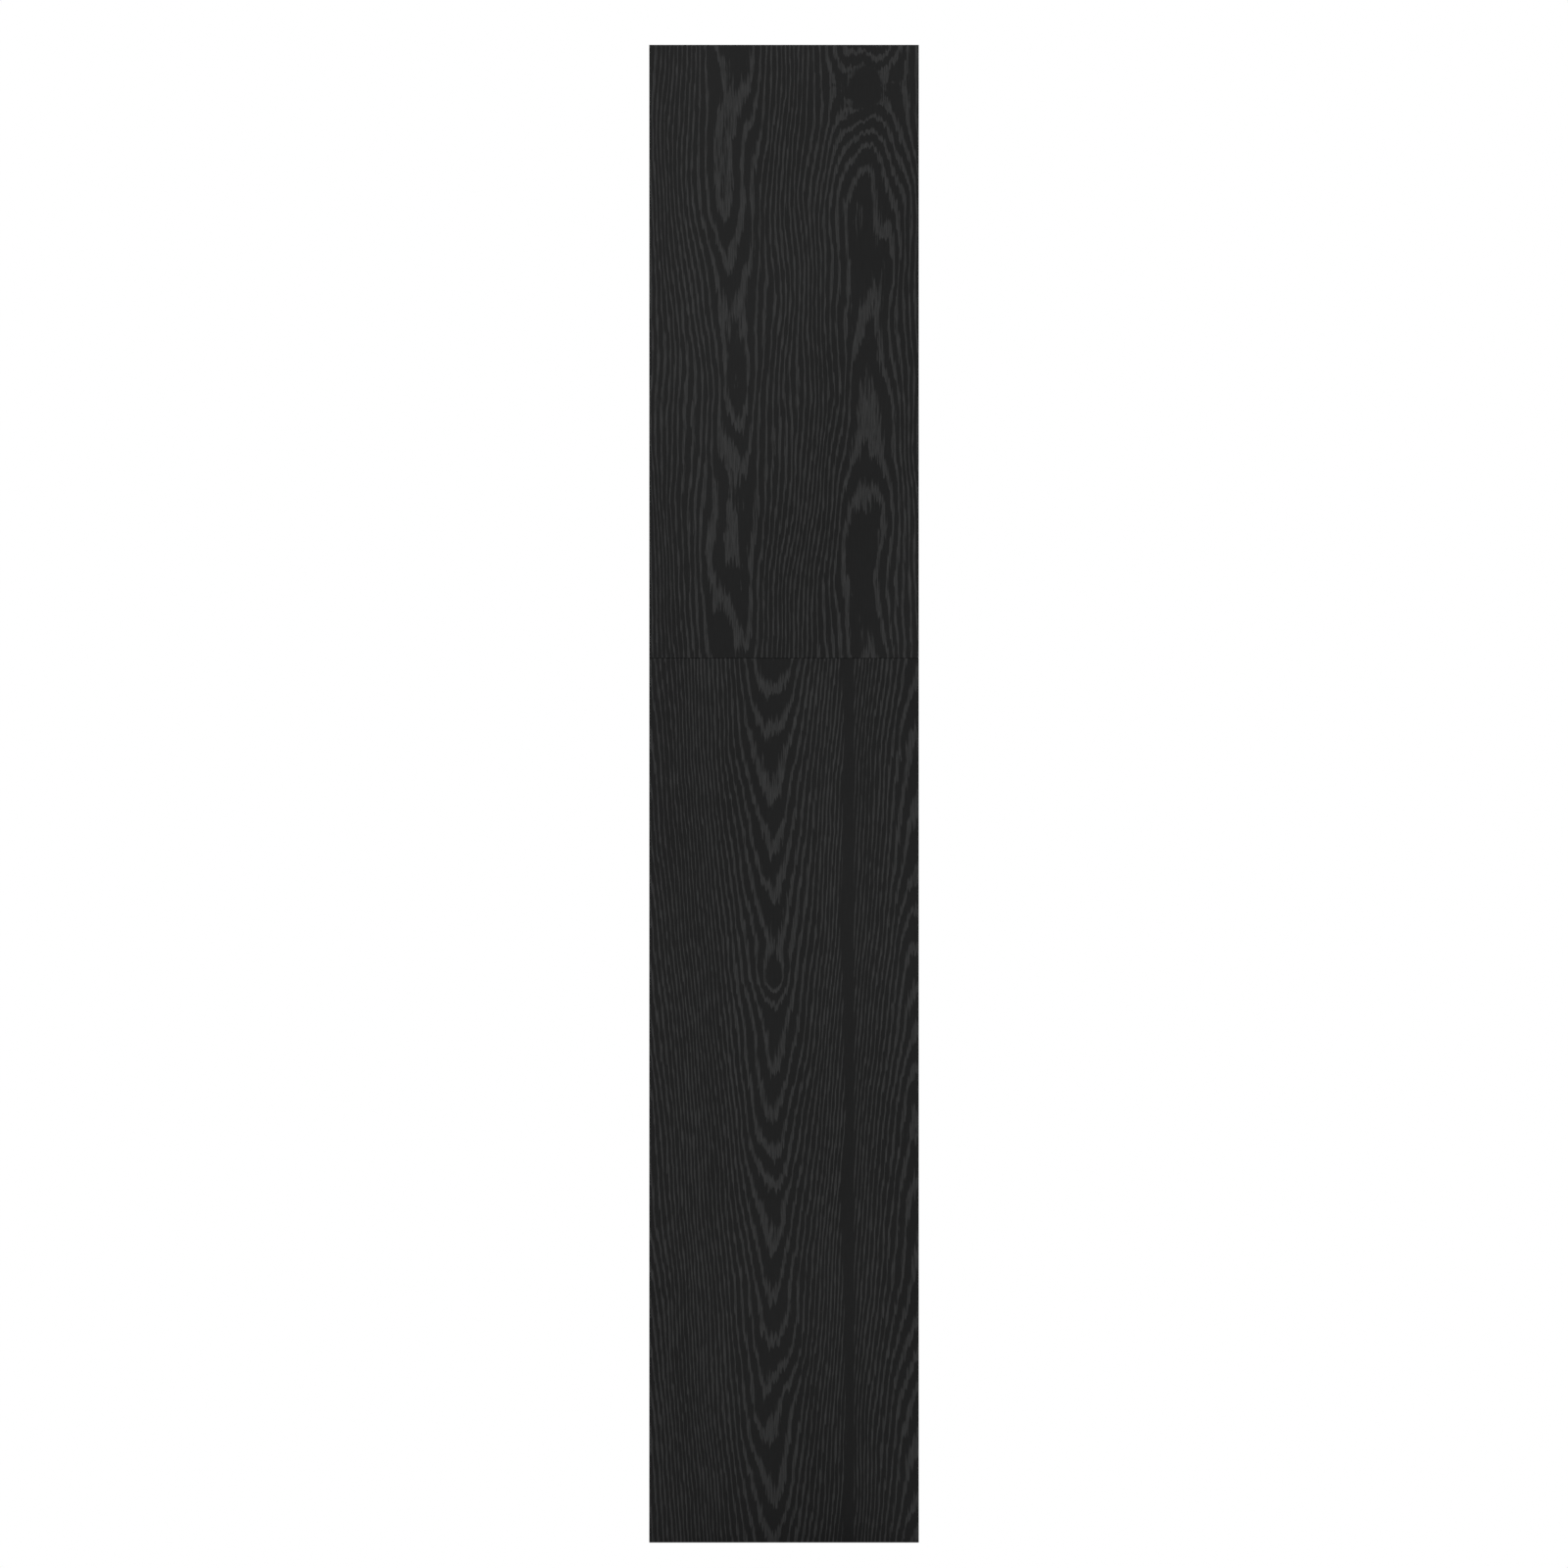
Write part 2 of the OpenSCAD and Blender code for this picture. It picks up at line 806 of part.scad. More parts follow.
module plate_pillars() {
    color(brass)
        for (s = [-1, 1])
            for (z = pillar_z) {
                ybar(s * pillar_x, z, front_y1, rear_y0, pillar_r);
                ybar(s * pillar_x, z, rear_y1, rear_y1 + pillar_nut_t, pillar_nut_r, 6);
            }
}

module movement_brackets() {
    color(steel)
        for (s = [-1, 1])
            slab(s * bracket_foot_x - bracket_foot_w / 2, s * bracket_foot_x + bracket_foot_w / 2,
                 front_y1, rear_y0, plate_z0, plate_z0 + bracket_foot_h);
}

module dial_plate() {
    color(white)
        difference() {
            slab(-dial_side / 2, dial_side / 2, dial_y, dial_y + dial_t,
                 dial_z - dial_side / 2, dial_z + dial_side / 2);
            ybar(0, dial_z, dial_y - over, dial_y + dial_t + over, pipe_r + 1);
            ybar(0, great_z, dial_y - over, dial_y + dial_t + over, winding_hole_r);
            ybar(0, escape_z, dial_y - over, dial_y + dial_t + over, seconds_hole_r);
        }
    color(brass)
        for (s = [-1, 1])
            for (z = foot_pillar_z)
                ybar(s * foot_pillar_x, z, dial_y + dial_t, front_y0, foot_pillar_r);
}

module flat_ring(z, y0, y1, r1, r0) {
    difference() {
        ybar(0, z, y0, y1, r1, 96);
        ybar(0, z, y0 - over, y1 + over, r0, 96);
    }
}

module chapter_ring() {
    color(brass) {
        flat_ring(dial_z, dial_y - ring_t, dial_y, ring_r, ring_r - ring_w);
        flat_ring(escape_z, dial_y - ring_t / 2, dial_y, seconds_len + seconds_ring_out,
                  seconds_len + seconds_ring_in);
    }
}

module hour_markers() {
    color(dark)
        for (i = [0 : 11])
            translate([0, dial_y - ring_t - marker_t, dial_z])
                rotate([0, i * 30, 0])
                    translate([-marker_w / 2, 0, ring_r - ring_w + marker_in])
                        cube([marker_w, marker_t, ring_w - marker_in - marker_out]);
}

module suspension_cock() {
    color(brass) {
        slab(-14, 14, rear_y1, rear_y1 + cock_t, axis_z + 9, axis_z + 25);
        slab(-cock_hw, cock_hw, rear_y1 + cock_t, pend_y + 8, axis_z + 10, axis_z + 22);
        slab(-cock_hw, cock_hw, pend_y - 8, pend_y + 8, axis_z + cock_gap, axis_z + 10);
    }
}

// flat spiral outline of the gong
turns = 3;
spiral_n = 90;
function spiral_r(i) = gong_inner + (gong_r - gong_inner) * i / spiral_n;
function spiral_a(i) = 180 + 360 * turns * i / spiral_n;
function spiral_side(d, i) = [(spiral_r(i) + d) * cos(spiral_a(i)), (spiral_r(i) + d) * sin(spiral_a(i))];
spiral_outline = concat([for (i = [0 : spiral_n]) spiral_side(gong_wire / 2, i)],
                        [for (i = [0 : spiral_n]) spiral_side(-gong_wire / 2, spiral_n - i)]);

module gong_coil() {
    color(steel)
        ysheet(gong_x, gong_z, gong_y0, gong_y0 + gong_wire)
            polygon(spiral_outline);
}

module gong_block() {
    color(dark)
        slab(block_x, block_x + block_w, gong_y0 + gong_wire, panel_y,
             gong_z - block_h / 2, gong_z + block_h / 2);
}

// ---------- movement, turning ----------
module great_wheel() {
    color(brass)
        difference() {
            union() {
                crossed_wheel(0, great_z, great_y0, wheel_outline(n_great, great_m, 0),
                              wheel_root(n_great, great_m), 6);
                ybar(0, great_z, great_y0 - great_hub_front, great_y0 + great_hub_back, great_hub_r);
            }
            ybar(0, great_z, great_y0 - 2 * over, great_y0 + great_hub_back + over, drum_arbor_r + run_fit);
        }
}

module winding_drum() {
    color(brass) {
        ybar(0, great_z, drum_y0 + flange_t, drum_y1 - flange_t, groove_r, fine);
        ybar(0, great_z, drum_y0, drum_y0 + flange_t, flange_r, fine);
        ybar(0, great_z, drum_y1 - flange_t, drum_y1, flange_r, fine);
        ysheet(0, great_z, drum_y1, drum_y1 + ratchet_t)
            polygon([for (i = [0 : n_ratchet - 1])
                for (q = [[ratchet_r, 0], [ratchet_r - ratchet_tooth, 2]])
                    arc_point(q[0], q[1] + i * 360 / n_ratchet)]);
    }
    color(steel) {
        ybar(0, great_z, front_y0 - 8, rear_y1 + 0.5, drum_arbor_r);
        translate([0, winding_front, great_z])
            rotate([0, 45, 0])
                translate([-square_w / 2, 0, -square_w / 2])
                    cube([square_w, front_y0 - 7 - winding_front, square_w]);
    }
}

module centre_wheel() {
    color(brass)
        crossed_wheel(0, dial_z, centre_y0, wheel_outline(n_centre, centre_m, centre_to_third),
                      wheel_root(n_centre, centre_m));
    color(steel) {
        arbor(0, dial_z, arbor_front);
        ysheet(0, dial_z, great_y0 - pinion_lead, great_y0 - pinion_lead + pinion_len)
            polygon(pinion_outline(n_pinion, great_m, 0));
    }
}

module cannon_pinion() {
    color(brass)
        difference() {
            union() {
                ysheet(0, dial_z, cannon_y0, cannon_y0 + cannon_t)
                    polygon(pinion_outline(n_cannon, motion_m, 9));
                ybar(0, dial_z, cannon_front, front_y0 - 0.5, cannon_r);
                ybar(0, dial_z, cannon_y0 + cannon_t, cannon_y0 + cannon_t + snail_t, lift_r + lift_rim);
            }
            ybar(0, dial_z, arbor_front, front_y0 + over, pivot_small);
        }
}

// a tapered hand pointing at a clock angle
module hand(z, y0, t, len, w, hub, bore, clock, tail) {
    difference() {
        union() {
            translate([0, y0, z])
                rotate([0, clock, 0])
                    translate([0, t, 0])
                        rotate([90, 0, 0])
                            linear_extrude(height = t)
                                polygon([[-w / 2, -tail], [w / 2, -tail], [w / 2, len * 0.55],
                                    [tip_w / 2, len], [-tip_w / 2, len], [-w / 2, len * 0.55]]);
            ybar(0, z, y0 - hand_boss, y0 + t, hub);
        }
        ybar(0, z, y0 - 5, y0 + 5, bore);
    }
}

module minute_hand() {
    color(dark)
        hand(dial_z, minute_y, 1, minute_len, 5, 6.5, cannon_r, 60, 22);
}

module hour_hand() {
    color(dark)
        hand(dial_z, hour_hand_y, 1, hour_len, 7, 8, pipe_r, 305, 18);
}

module seconds_hand() {
    color(dark)
        hand(escape_z, seconds_y, 0.6, seconds_len, 1.4, 2.6, pivot_small, 210, 7);
}

module hour_wheel() {
    color(brass)
        difference() {
            union() {
                ysheet(0, dial_z, hour_y0, hour_y0 + wheel_t)
                    polygon(wheel_outline(n_hour, motion_m, 0));
                ybar(0, dial_z, hour_pipe_front, hour_y0 + pipe_back, pipe_r);
            }
            ybar(0, dial_z, arbor_front, front_y0, cannon_r + run_fit);
            for (i = [0 : 4])
                translate([0, 0, dial_z])
                    rotate([0, i * 72 + 36, 0])
                        ybar(0, light_at, hour_y0 - over, hour_y0 + wheel_t + over, hour_light_r);
        }
}

module minute_wheel() {
    color(brass)
        difference() {
            union() {
                ysheet(motion_cd, dial_z, cannon_y0, cannon_y0 + wheel_t)
                    polygon(wheel_outline(n_minute, motion_m, 0));
                ysheet(motion_cd, dial_z, cannon_y0 - minute_pinion_len, cannon_y0)
                    polygon(pinion_outline(n_minute_pinion, motion_m, 191.25));
                ybar(motion_cd, dial_z, cannon_y0 + wheel_t, front_y0 - 0.5, 4);
            }
            ybar(motion_cd, dial_z, arbor_front, front_y0 + over, arbor_r + run_fit);
            for (i = [0 : 4])
                translate([motion_cd, 0, dial_z])
                    rotate([0, i * 72 + 36, 0])
                        ybar(0, light_at, cannon_y0 - over, cannon_y0 + wheel_t + over, minute_light_r);
        }
}

module third_wheel() {
    color(brass)
        crossed_wheel(third_out, third_z, third_y0, wheel_outline(n_third, third_m, third_to_escape),
                      wheel_root(n_third, third_m));
    color(steel) {
        arbor(third_out, third_z);
        ysheet(third_out, third_z, centre_y0 - pinion_lead, centre_y0 - pinion_lead + pinion_len)
            polygon(pinion_outline(n_pinion, centre_m, centre_to_third + 180 + 18));
    }
}

// saw teeth, each with a steep face and a long back
escape_depth = 3;
function escape_outline() =
    [for (i = [0 : n_escape - 1])
        for (q = [[escape_r, 0], [escape_r - escape_depth, 1.5], [escape_r - escape_depth, 9]])
            arc_point(q[0], q[1] + i * 360 / n_escape)];

module escape_wheel() {
    color(brass)
        crossed_wheel(0, escape_z, escape_y0, escape_outline(), escape_r - escape_depth);
    color(steel) {
        arbor(0, escape_z, seconds_front);
        ysheet(0, escape_z, third_y0 - pinion_lead, third_y0 - pinion_lead + pinion_len)
            polygon(pinion_outline(n_pinion, third_m, third_to_escape + 180 + 18));
    }
}

// two straight arms whose inner edges pass just outside the tooth circle: the pallets
// are cut back so that they clear the escape wheel through the swing
pallet_clear = 1.25;
pallet_drop = 90 - asin((escape_r + pallet_clear) / pallet_rise);
arm_len = 22;
arm_w = 5;
arm_x = arm_len * cos(pallet_drop);
arm_z = -arm_len * sin(pallet_drop);
tip_x = arm_x + arm_w * sin(pallet_drop);
tip_z = arm_z + arm_w * cos(pallet_drop);
anchor_hub_r = 5.5;
crutch_len = 112;
fork_slack = 0.4;
fork_t = 2;
fork_h = 6;
anchor_outline = [[0, 0], [arm_x, arm_z], [tip_x, tip_z], [0, arm_w / cos(pallet_drop)],
    [-tip_x, tip_z], [-arm_x, arm_z]];

module anchor_crutch() {
    crutch_y0 = rear_y1 + 4;
    crutch_y1 = rear_y1 + 6;
    fork_z = axis_z - crutch_len;
    fork_x = rod_r + fork_slack + fork_t / 2;
    color(steel) {
        arbor(0, axis_z, front_y0 - 0.3, crutch_y1 + 3);
        ybar(0, axis_z, anchor_y0 - 1, anchor_y1 + 1, anchor_hub_r);
        ysheet(0, axis_z, anchor_y0, anchor_y1)
            polygon(anchor_outline);
        ybar(0, axis_z, crutch_y0 - 2, crutch_y1 + 2, 5);
        slab(-2, 2, crutch_y0, crutch_y1, fork_z, axis_z);
        slab(-fork_x - fork_t / 2, fork_x + fork_t / 2, crutch_y0, crutch_y1, fork_z, fork_z + fork_h);
        for (s = [-1, 1])
            slab(s * fork_x - fork_t / 2, s * fork_x + fork_t / 2, crutch_y0 + 1, pend_y + fork_h,
                 fork_z, fork_z + fork_h);
    }
}

module pendulum_rod() {
    color(steel) {
        slab(-spring_t / 2, spring_t / 2, pend_y - spring_w / 2, pend_y + spring_w / 2, rod_z1 + 6, axis_z);
        slab(-2.5, 2.5, pend_y - 6, pend_y + 6, rod_z1 + 4, rod_z1 + 12);
    }
    color(dark) {
        zbar(0, pend_y, rod_z1 - 2, rod_z1 + 5, ferrule_r);
        zbar(0, pend_y, rod_z0, rod_z1, rod_r);
    }
}

module pendulum_bob() {
    color(brass)
        difference() {
            translate([0, pend_y, bob_z])
                rotate([90, 0, 0])
                    rotate_extrude($fn = 96)
                        polygon([[0, -bob_t / 2], [bob_r * 0.45, -bob_t / 2 * 0.88],
                            [bob_r * 0.8, -bob_t / 2 * 0.55], [bob_r - 1, -2], [bob_r, -1], [bob_r, 1],
                            [bob_r - 1, 2], [bob_r * 0.8, bob_t / 2 * 0.55],
                            [bob_r * 0.45, bob_t / 2 * 0.88], [0, bob_t / 2]]);
            zbar(0, pend_y, bob_z - bob_r - over, bob_z + bob_r + over, rod_r + run_fit);
        }
}

module rating_nut() {
    color(brass)
        difference() {
            union() {
                zbar(0, pend_y, nut_z1 - nut_h, nut_z1, nut_r, 24);
                zbar(0, pend_y, nut_z1, nut_z1 + nut_neck_h, nut_neck_r);
            }
            zbar(0, pend_y, nut_z1 - nut_h - over, nut_z1 + 5, rod_r + run_fit);
        }
}

module clock_weight() {
    color(brass) {
        zbar(0, weight_y, weight_z0, weight_z1, weight_r, fine);
        zbar(0, weight_y, weight_z0 - cap_t, weight_z0, weight_r - cap_in, fine);
        zbar(0, weight_y, weight_z1, weight_z1 + cap_t, weight_r - cap_in, fine);
        zbar(0, weight_y, weight_z1 + cap_t, pulley_z - stirrup_foot, hook_r);
    }
}

module pulley_stirrup() {
    outer = stirrup_in + stirrup_t;
    foot_z = pulley_z - stirrup_foot;
    color(steel) {
        for (y = [-outer, stirrup_in])
            difference() {
                slab(-stirrup_w / 2, stirrup_w / 2, weight_y + y, weight_y + y + stirrup_t,
                     foot_z, pulley_z + stirrup_top);
                ybar(0, pulley_z, weight_y + y - over, weight_y + y + stirrup_t + over, arbor_r);
            }
        slab(-stirrup_w / 2, stirrup_w / 2, weight_y - outer, weight_y + outer,
             foot_z, foot_z + stirrup_base);
        ybar(0, pulley_z, weight_y - outer - 1.5, weight_y + outer + 1.5, arbor_r);
    }
}

module cable_pulley() {
    color(brass)
        translate([0, weight_y, pulley_z])
            rotate([90, 0, 0])
                rotate_extrude($fn = fine)
                    polygon([[arbor_r + run_fit, -pulley_hw], [flange_r, -pulley_hw],
                        [flange_r, 1 - pulley_hw], [groove_r, -pulley_hw * 0.4],
                        [groove_r, pulley_hw * 0.4], [flange_r, pulley_hw - 1],
                        [flange_r, pulley_hw], [arbor_r + run_fit, pulley_hw]]);
}

module cable_fall() {
    color(steel)
        zbar(-drum_r, weight_y, pulley_z, great_z, cable_r, 16);
}

module cable_return() {
    color(steel)
        zbar(drum_r, weight_y, pulley_z, seat_z0 - 0.4, cable_r, 16);
}

module strike_hammer() {
    strike_x = gong_x - gong_r - gong_wire / 2 - gong_rest - head_r;
    strike_z = gong_z + 6;
    tail_len = norm([hammer_x, hammer_z - dial_z])
        - lift_r - lift_rim - tail_clear;
    tail_a = atan2(-hammer_x, dial_z - hammer_z);
    strike_len = norm([strike_x - hammer_x, strike_z - hammer_z]);
    strike_a = atan2(strike_x - hammer_x, strike_z - hammer_z);
    color(steel) {
        ybar(hammer_x, hammer_z, front_y0 - 6, gong_y0 + gong_wire, arbor_r);
        ybar(hammer_x, hammer_z, gong_y0 - 2, gong_y0 + gong_wire, collet_r);
        ybar(hammer_x, hammer_z, front_y0 - 5.4, front_y0 - 1, collet_r);
        translate([hammer_x, gong_y0 - 1, hammer_z])
            rotate([0, strike_a, 0])
                translate([-arm_thin / 2, 0, 0])
                    cube([arm_thin, gong_wire, strike_len]);
        translate([hammer_x, front_y0 - 3.2, hammer_z])
            rotate([0, tail_a, 0])
                translate([-tail_w / 2, 0, 0])
                    cube([tail_w, 2, tail_len]);
    }
    color(brass)
        ybar(strike_x, strike_z, gong_y0 - head_front, gong_y0 + head_back, head_r);
}

lower_side_left();
lower_side_right();
upper_side_left();
upper_side_right();
top_panel();
bottom_panel();
plinth_boards();
front_rails();
rear_rails();
lower_back();
upper_back();
joining_bolts();
hinge_bushes();
magnet_catches();
lock_keeper();
levelling_feet();
wall_bracket();
seat_cheeks();
seatboard();
hood_door_frame();
hood_glass();
hood_glass_beads();
hood_door_pins();
trunk_door_frame();
trunk_glass();
trunk_glass_beads();
trunk_door_pins();
trunk_lock_body();
trunk_lock_plug();
front_plate();
back_plate();
plate_pillars();
movement_brackets();
dial_plate();
chapter_ring();
hour_markers();
suspension_cock();
gong_coil();
gong_block();
great_wheel();
winding_drum();
centre_wheel();
cannon_pinion();
minute_hand();
hour_wheel();
hour_hand();
minute_wheel();
third_wheel();
escape_wheel();
seconds_hand();
anchor_crutch();
pendulum_rod();
pendulum_bob();
rating_nut();
clock_weight();
pulley_stirrup();
cable_pulley();
cable_fall();
cable_return();
strike_hammer();
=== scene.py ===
# Grandfather clock: a plain two-section case in black oak laminate, and the brass
# movement, white dial, seconds pendulum and driving weight behind its glass doors.
import math

import bpy
from mathutils import Matrix, Vector


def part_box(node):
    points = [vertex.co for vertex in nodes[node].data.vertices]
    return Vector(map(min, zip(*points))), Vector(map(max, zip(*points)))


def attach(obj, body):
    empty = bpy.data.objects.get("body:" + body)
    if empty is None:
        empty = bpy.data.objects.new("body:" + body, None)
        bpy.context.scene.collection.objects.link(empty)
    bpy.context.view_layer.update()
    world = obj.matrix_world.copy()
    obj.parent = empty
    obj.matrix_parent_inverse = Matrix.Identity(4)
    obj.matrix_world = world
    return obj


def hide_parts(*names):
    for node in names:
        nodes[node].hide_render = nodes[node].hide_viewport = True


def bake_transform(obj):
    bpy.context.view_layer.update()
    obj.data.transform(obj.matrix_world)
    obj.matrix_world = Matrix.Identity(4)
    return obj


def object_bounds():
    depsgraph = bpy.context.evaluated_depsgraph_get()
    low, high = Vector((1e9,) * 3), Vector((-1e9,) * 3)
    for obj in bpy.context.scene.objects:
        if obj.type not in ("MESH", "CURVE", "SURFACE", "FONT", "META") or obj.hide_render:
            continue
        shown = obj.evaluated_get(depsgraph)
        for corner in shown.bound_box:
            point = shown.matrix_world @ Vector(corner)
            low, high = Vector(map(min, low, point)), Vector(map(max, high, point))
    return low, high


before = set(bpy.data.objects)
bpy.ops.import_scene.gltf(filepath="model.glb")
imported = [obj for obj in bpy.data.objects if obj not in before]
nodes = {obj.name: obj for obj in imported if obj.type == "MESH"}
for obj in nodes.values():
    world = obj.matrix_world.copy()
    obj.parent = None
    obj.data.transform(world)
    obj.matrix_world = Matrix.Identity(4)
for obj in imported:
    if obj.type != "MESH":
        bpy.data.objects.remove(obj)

cad_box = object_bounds()
case_low, case_high = (Vector(corner) for corner in cad_box)
case_size = case_high - case_low


# ---------- Room ----------
# A pale studio: a plain floor that stays pale into the distance, a white surround that the
# camera sees, and a dimmer one that lights the clock and shows in its glass and brass.
surround_white = (1.0, 1.0, 1.0, 1.0)
surround_light = (0.93, 0.96, 1.0, 1.0)
surround_strength = 0.22
floor_side = 60.0
floor_lift = 0.34
floor_colour = (0.86, 0.86, 0.85, 1.0)

scene = bpy.context.scene
scene.view_settings.view_transform = "Standard"
world = bpy.data.worlds.new("studio")
scene.world = world
world.use_nodes = True
tree = world.node_tree
tree.nodes.clear()
path = tree.nodes.new("ShaderNodeLightPath")
seen = tree.nodes.new("ShaderNodeBackground")
seen.inputs["Color"].default_value = surround_white
lit = tree.nodes.new("ShaderNodeBackground")
lit.inputs["Color"].default_value = surround_light
lit.inputs["Strength"].default_value = surround_strength
mix = tree.nodes.new("ShaderNodeMixShader")
out = tree.nodes.new("ShaderNodeOutputWorld")
tree.links.new(path.outputs["Is Camera Ray"], mix.inputs[0])
tree.links.new(lit.outputs[0], mix.inputs[1])
tree.links.new(seen.outputs[0], mix.inputs[2])
tree.links.new(mix.outputs[0], out.inputs[0])

bpy.ops.object.select_all(action="DESELECT")
bpy.ops.mesh.primitive_plane_add(size=floor_side, location=(0, 0, case_low.z))
floor = bpy.context.object
floor.name = "floor"


def new_material(name):
    """A plain material, with its nodes and its shader."""
    material = bpy.data.materials.new(name)
    material.use_nodes = True
    tree = material.node_tree
    return material, tree, tree.nodes["Principled BSDF"]


paint, tree, shader = new_material("studio_floor")
shader.inputs["Base Color"].default_value = floor_colour
shader.inputs["Roughness"].default_value = 0.9
shader.inputs["Specular IOR Level"].default_value = 0.1
shader.inputs["Emission Color"].default_value = floor_colour
path = tree.nodes.new("ShaderNodeLightPath")
lift = tree.nodes.new("ShaderNodeMath")
lift.operation = "MULTIPLY"
lift.inputs[1].default_value = floor_lift
tree.links.new(path.outputs["Is Camera Ray"], lift.inputs[0])
tree.links.new(lift.outputs[0], shader.inputs["Emission Strength"])
floor.data.materials.append(paint)


def softbox(name, place, aim, width, height, power):
    """One rectangular studio light, turned to face the point it is aimed at."""
    light = bpy.data.lights.new(name, "AREA")
    light.shape = "RECTANGLE"
    light.size = width
    light.size_y = height
    light.energy = power
    lamp = bpy.data.objects.new(name, light)
    scene.collection.objects.link(lamp)
    lamp.location = place
    lamp.rotation_euler = (Vector(aim) - Vector(place)).to_track_quat("-Z", "Y").to_euler()


middle = (0, 0, case_size.z / 2)
softbox("side_light", (4.7, -0.6, 3.5), (0, 0, 1.2), 2.4, 2.4, 150)
softbox("front_light", (-1.7, -4.6, 2.6), (0, 0, 0.9), 2.6, 2.6, 115)
softbox("back_light", (-1.6, 4.0, 2.6), middle, 2.6, 2.6, 130)
softbox("left_light", (-4.2, -0.6, 2.8), middle, 2.4, 2.6, 105)

# The camera stands square to the clock's right-hand side and has no perspective.
frame_share = 0.9552
camera_rise = 0.0117
camera_away = 6.0
camera_data = bpy.data.cameras.new("camera")
camera_data.type = "ORTHO"
camera_data.ortho_scale = case_size.z / frame_share
camera = bpy.data.objects.new("camera", camera_data)
scene.collection.objects.link(camera)
camera.location = (camera_away, 0, case_size.z / 2 + camera_rise)
camera.rotation_euler = (math.radians(90), 0, math.radians(90))
scene.camera = camera


# ---------- Case boards ----------
# The case is made of 18 mm boards covered in black oak-grain laminate: a light figure of
# growth rings on a near-black ground, with fine broken pores along the grain. Each board
# is one sheet, so the figure changes at the seam.
def node_group(name, inputs, outputs):
    """An empty shader node group with the sockets named; numbers unless marked as vectors."""
    group = bpy.data.node_groups.new(name, "ShaderNodeTree")
    for label in inputs:
        kind = "NodeSocketVector" if label in ("Vector", "Normal") else "NodeSocketFloat"
        group.interface.new_socket(name=label, in_out="INPUT", socket_type=kind)
    for label in outputs:
        group.interface.new_socket(name=label, in_out="OUTPUT", socket_type="NodeSocketFloat")
    return group, group.nodes.new("NodeGroupInput"), group.nodes.new("NodeGroupOutput")


def wire(tree, value, socket):
    """Links a socket, or sets a plain value."""
    if isinstance(value, bpy.types.NodeSocket):
        tree.links.new(value, socket)
    else:
        socket.default_value = value


def math_node(tree, operation, *values):
    """One step of arithmetic on sockets or plain numbers."""
    node = tree.nodes.new("ShaderNodeMath")
    node.operation = operation
    for socket, value in zip(node.inputs, values):
        wire(tree, value, socket)
    return node.outputs[0]


def ramp_node(tree, value, low, high, out_low=0.0, out_high=1.0):
    """A smooth step from out_low to out_high as value goes from low to high."""
    node = tree.nodes.new("ShaderNodeMapRange")
    node.interpolation_type = "SMOOTHSTEP"
    for socket, number in zip(node.inputs, (value, low, high, out_low, out_high)):
        wire(tree, number, socket)
    return node.outputs[0]


def stretched_noise(tree, across, along, seed, across_scale, along_scale, detail=2.0):
    """Noise whose spots are long in the direction of the grain, from -1 to 1."""
    place = tree.nodes.new("ShaderNodeCombineXYZ")
    wire(tree, math_node(tree, "MULTIPLY", across, across_scale), place.inputs[0])
    wire(tree, math_node(tree, "MULTIPLY", along, along_scale), place.inputs[1])
    wire(tree, seed, place.inputs[2])
    noise = tree.nodes.new("ShaderNodeTexNoise")
    noise.inputs["Scale"].default_value = 1.0
    noise.inputs["Detail"].default_value = detail
    tree.links.new(place.outputs[0], noise.inputs["Vector"])
    centred = math_node(tree, "SUBTRACT", noise.outputs[0], 0.5)
    return math_node(tree, "MULTIPLY", centred, 2.0)


# Lengths are in metres, and widths of a line are shares of one ring.
side_facing = 0.7
knot_squat = 0.72
knot_ragged = 0.7
knot_push = -0.28
knot_edge = (0.7, 1.25)
strip_wander = 0.010
strip_swell = (0.9, 0.7)
strip_fade = 0.0015
line_rise = 0.08
line_width = 0.30
line_width_change = 0.22
line_fade = 0.16
pore_dark = 0.45


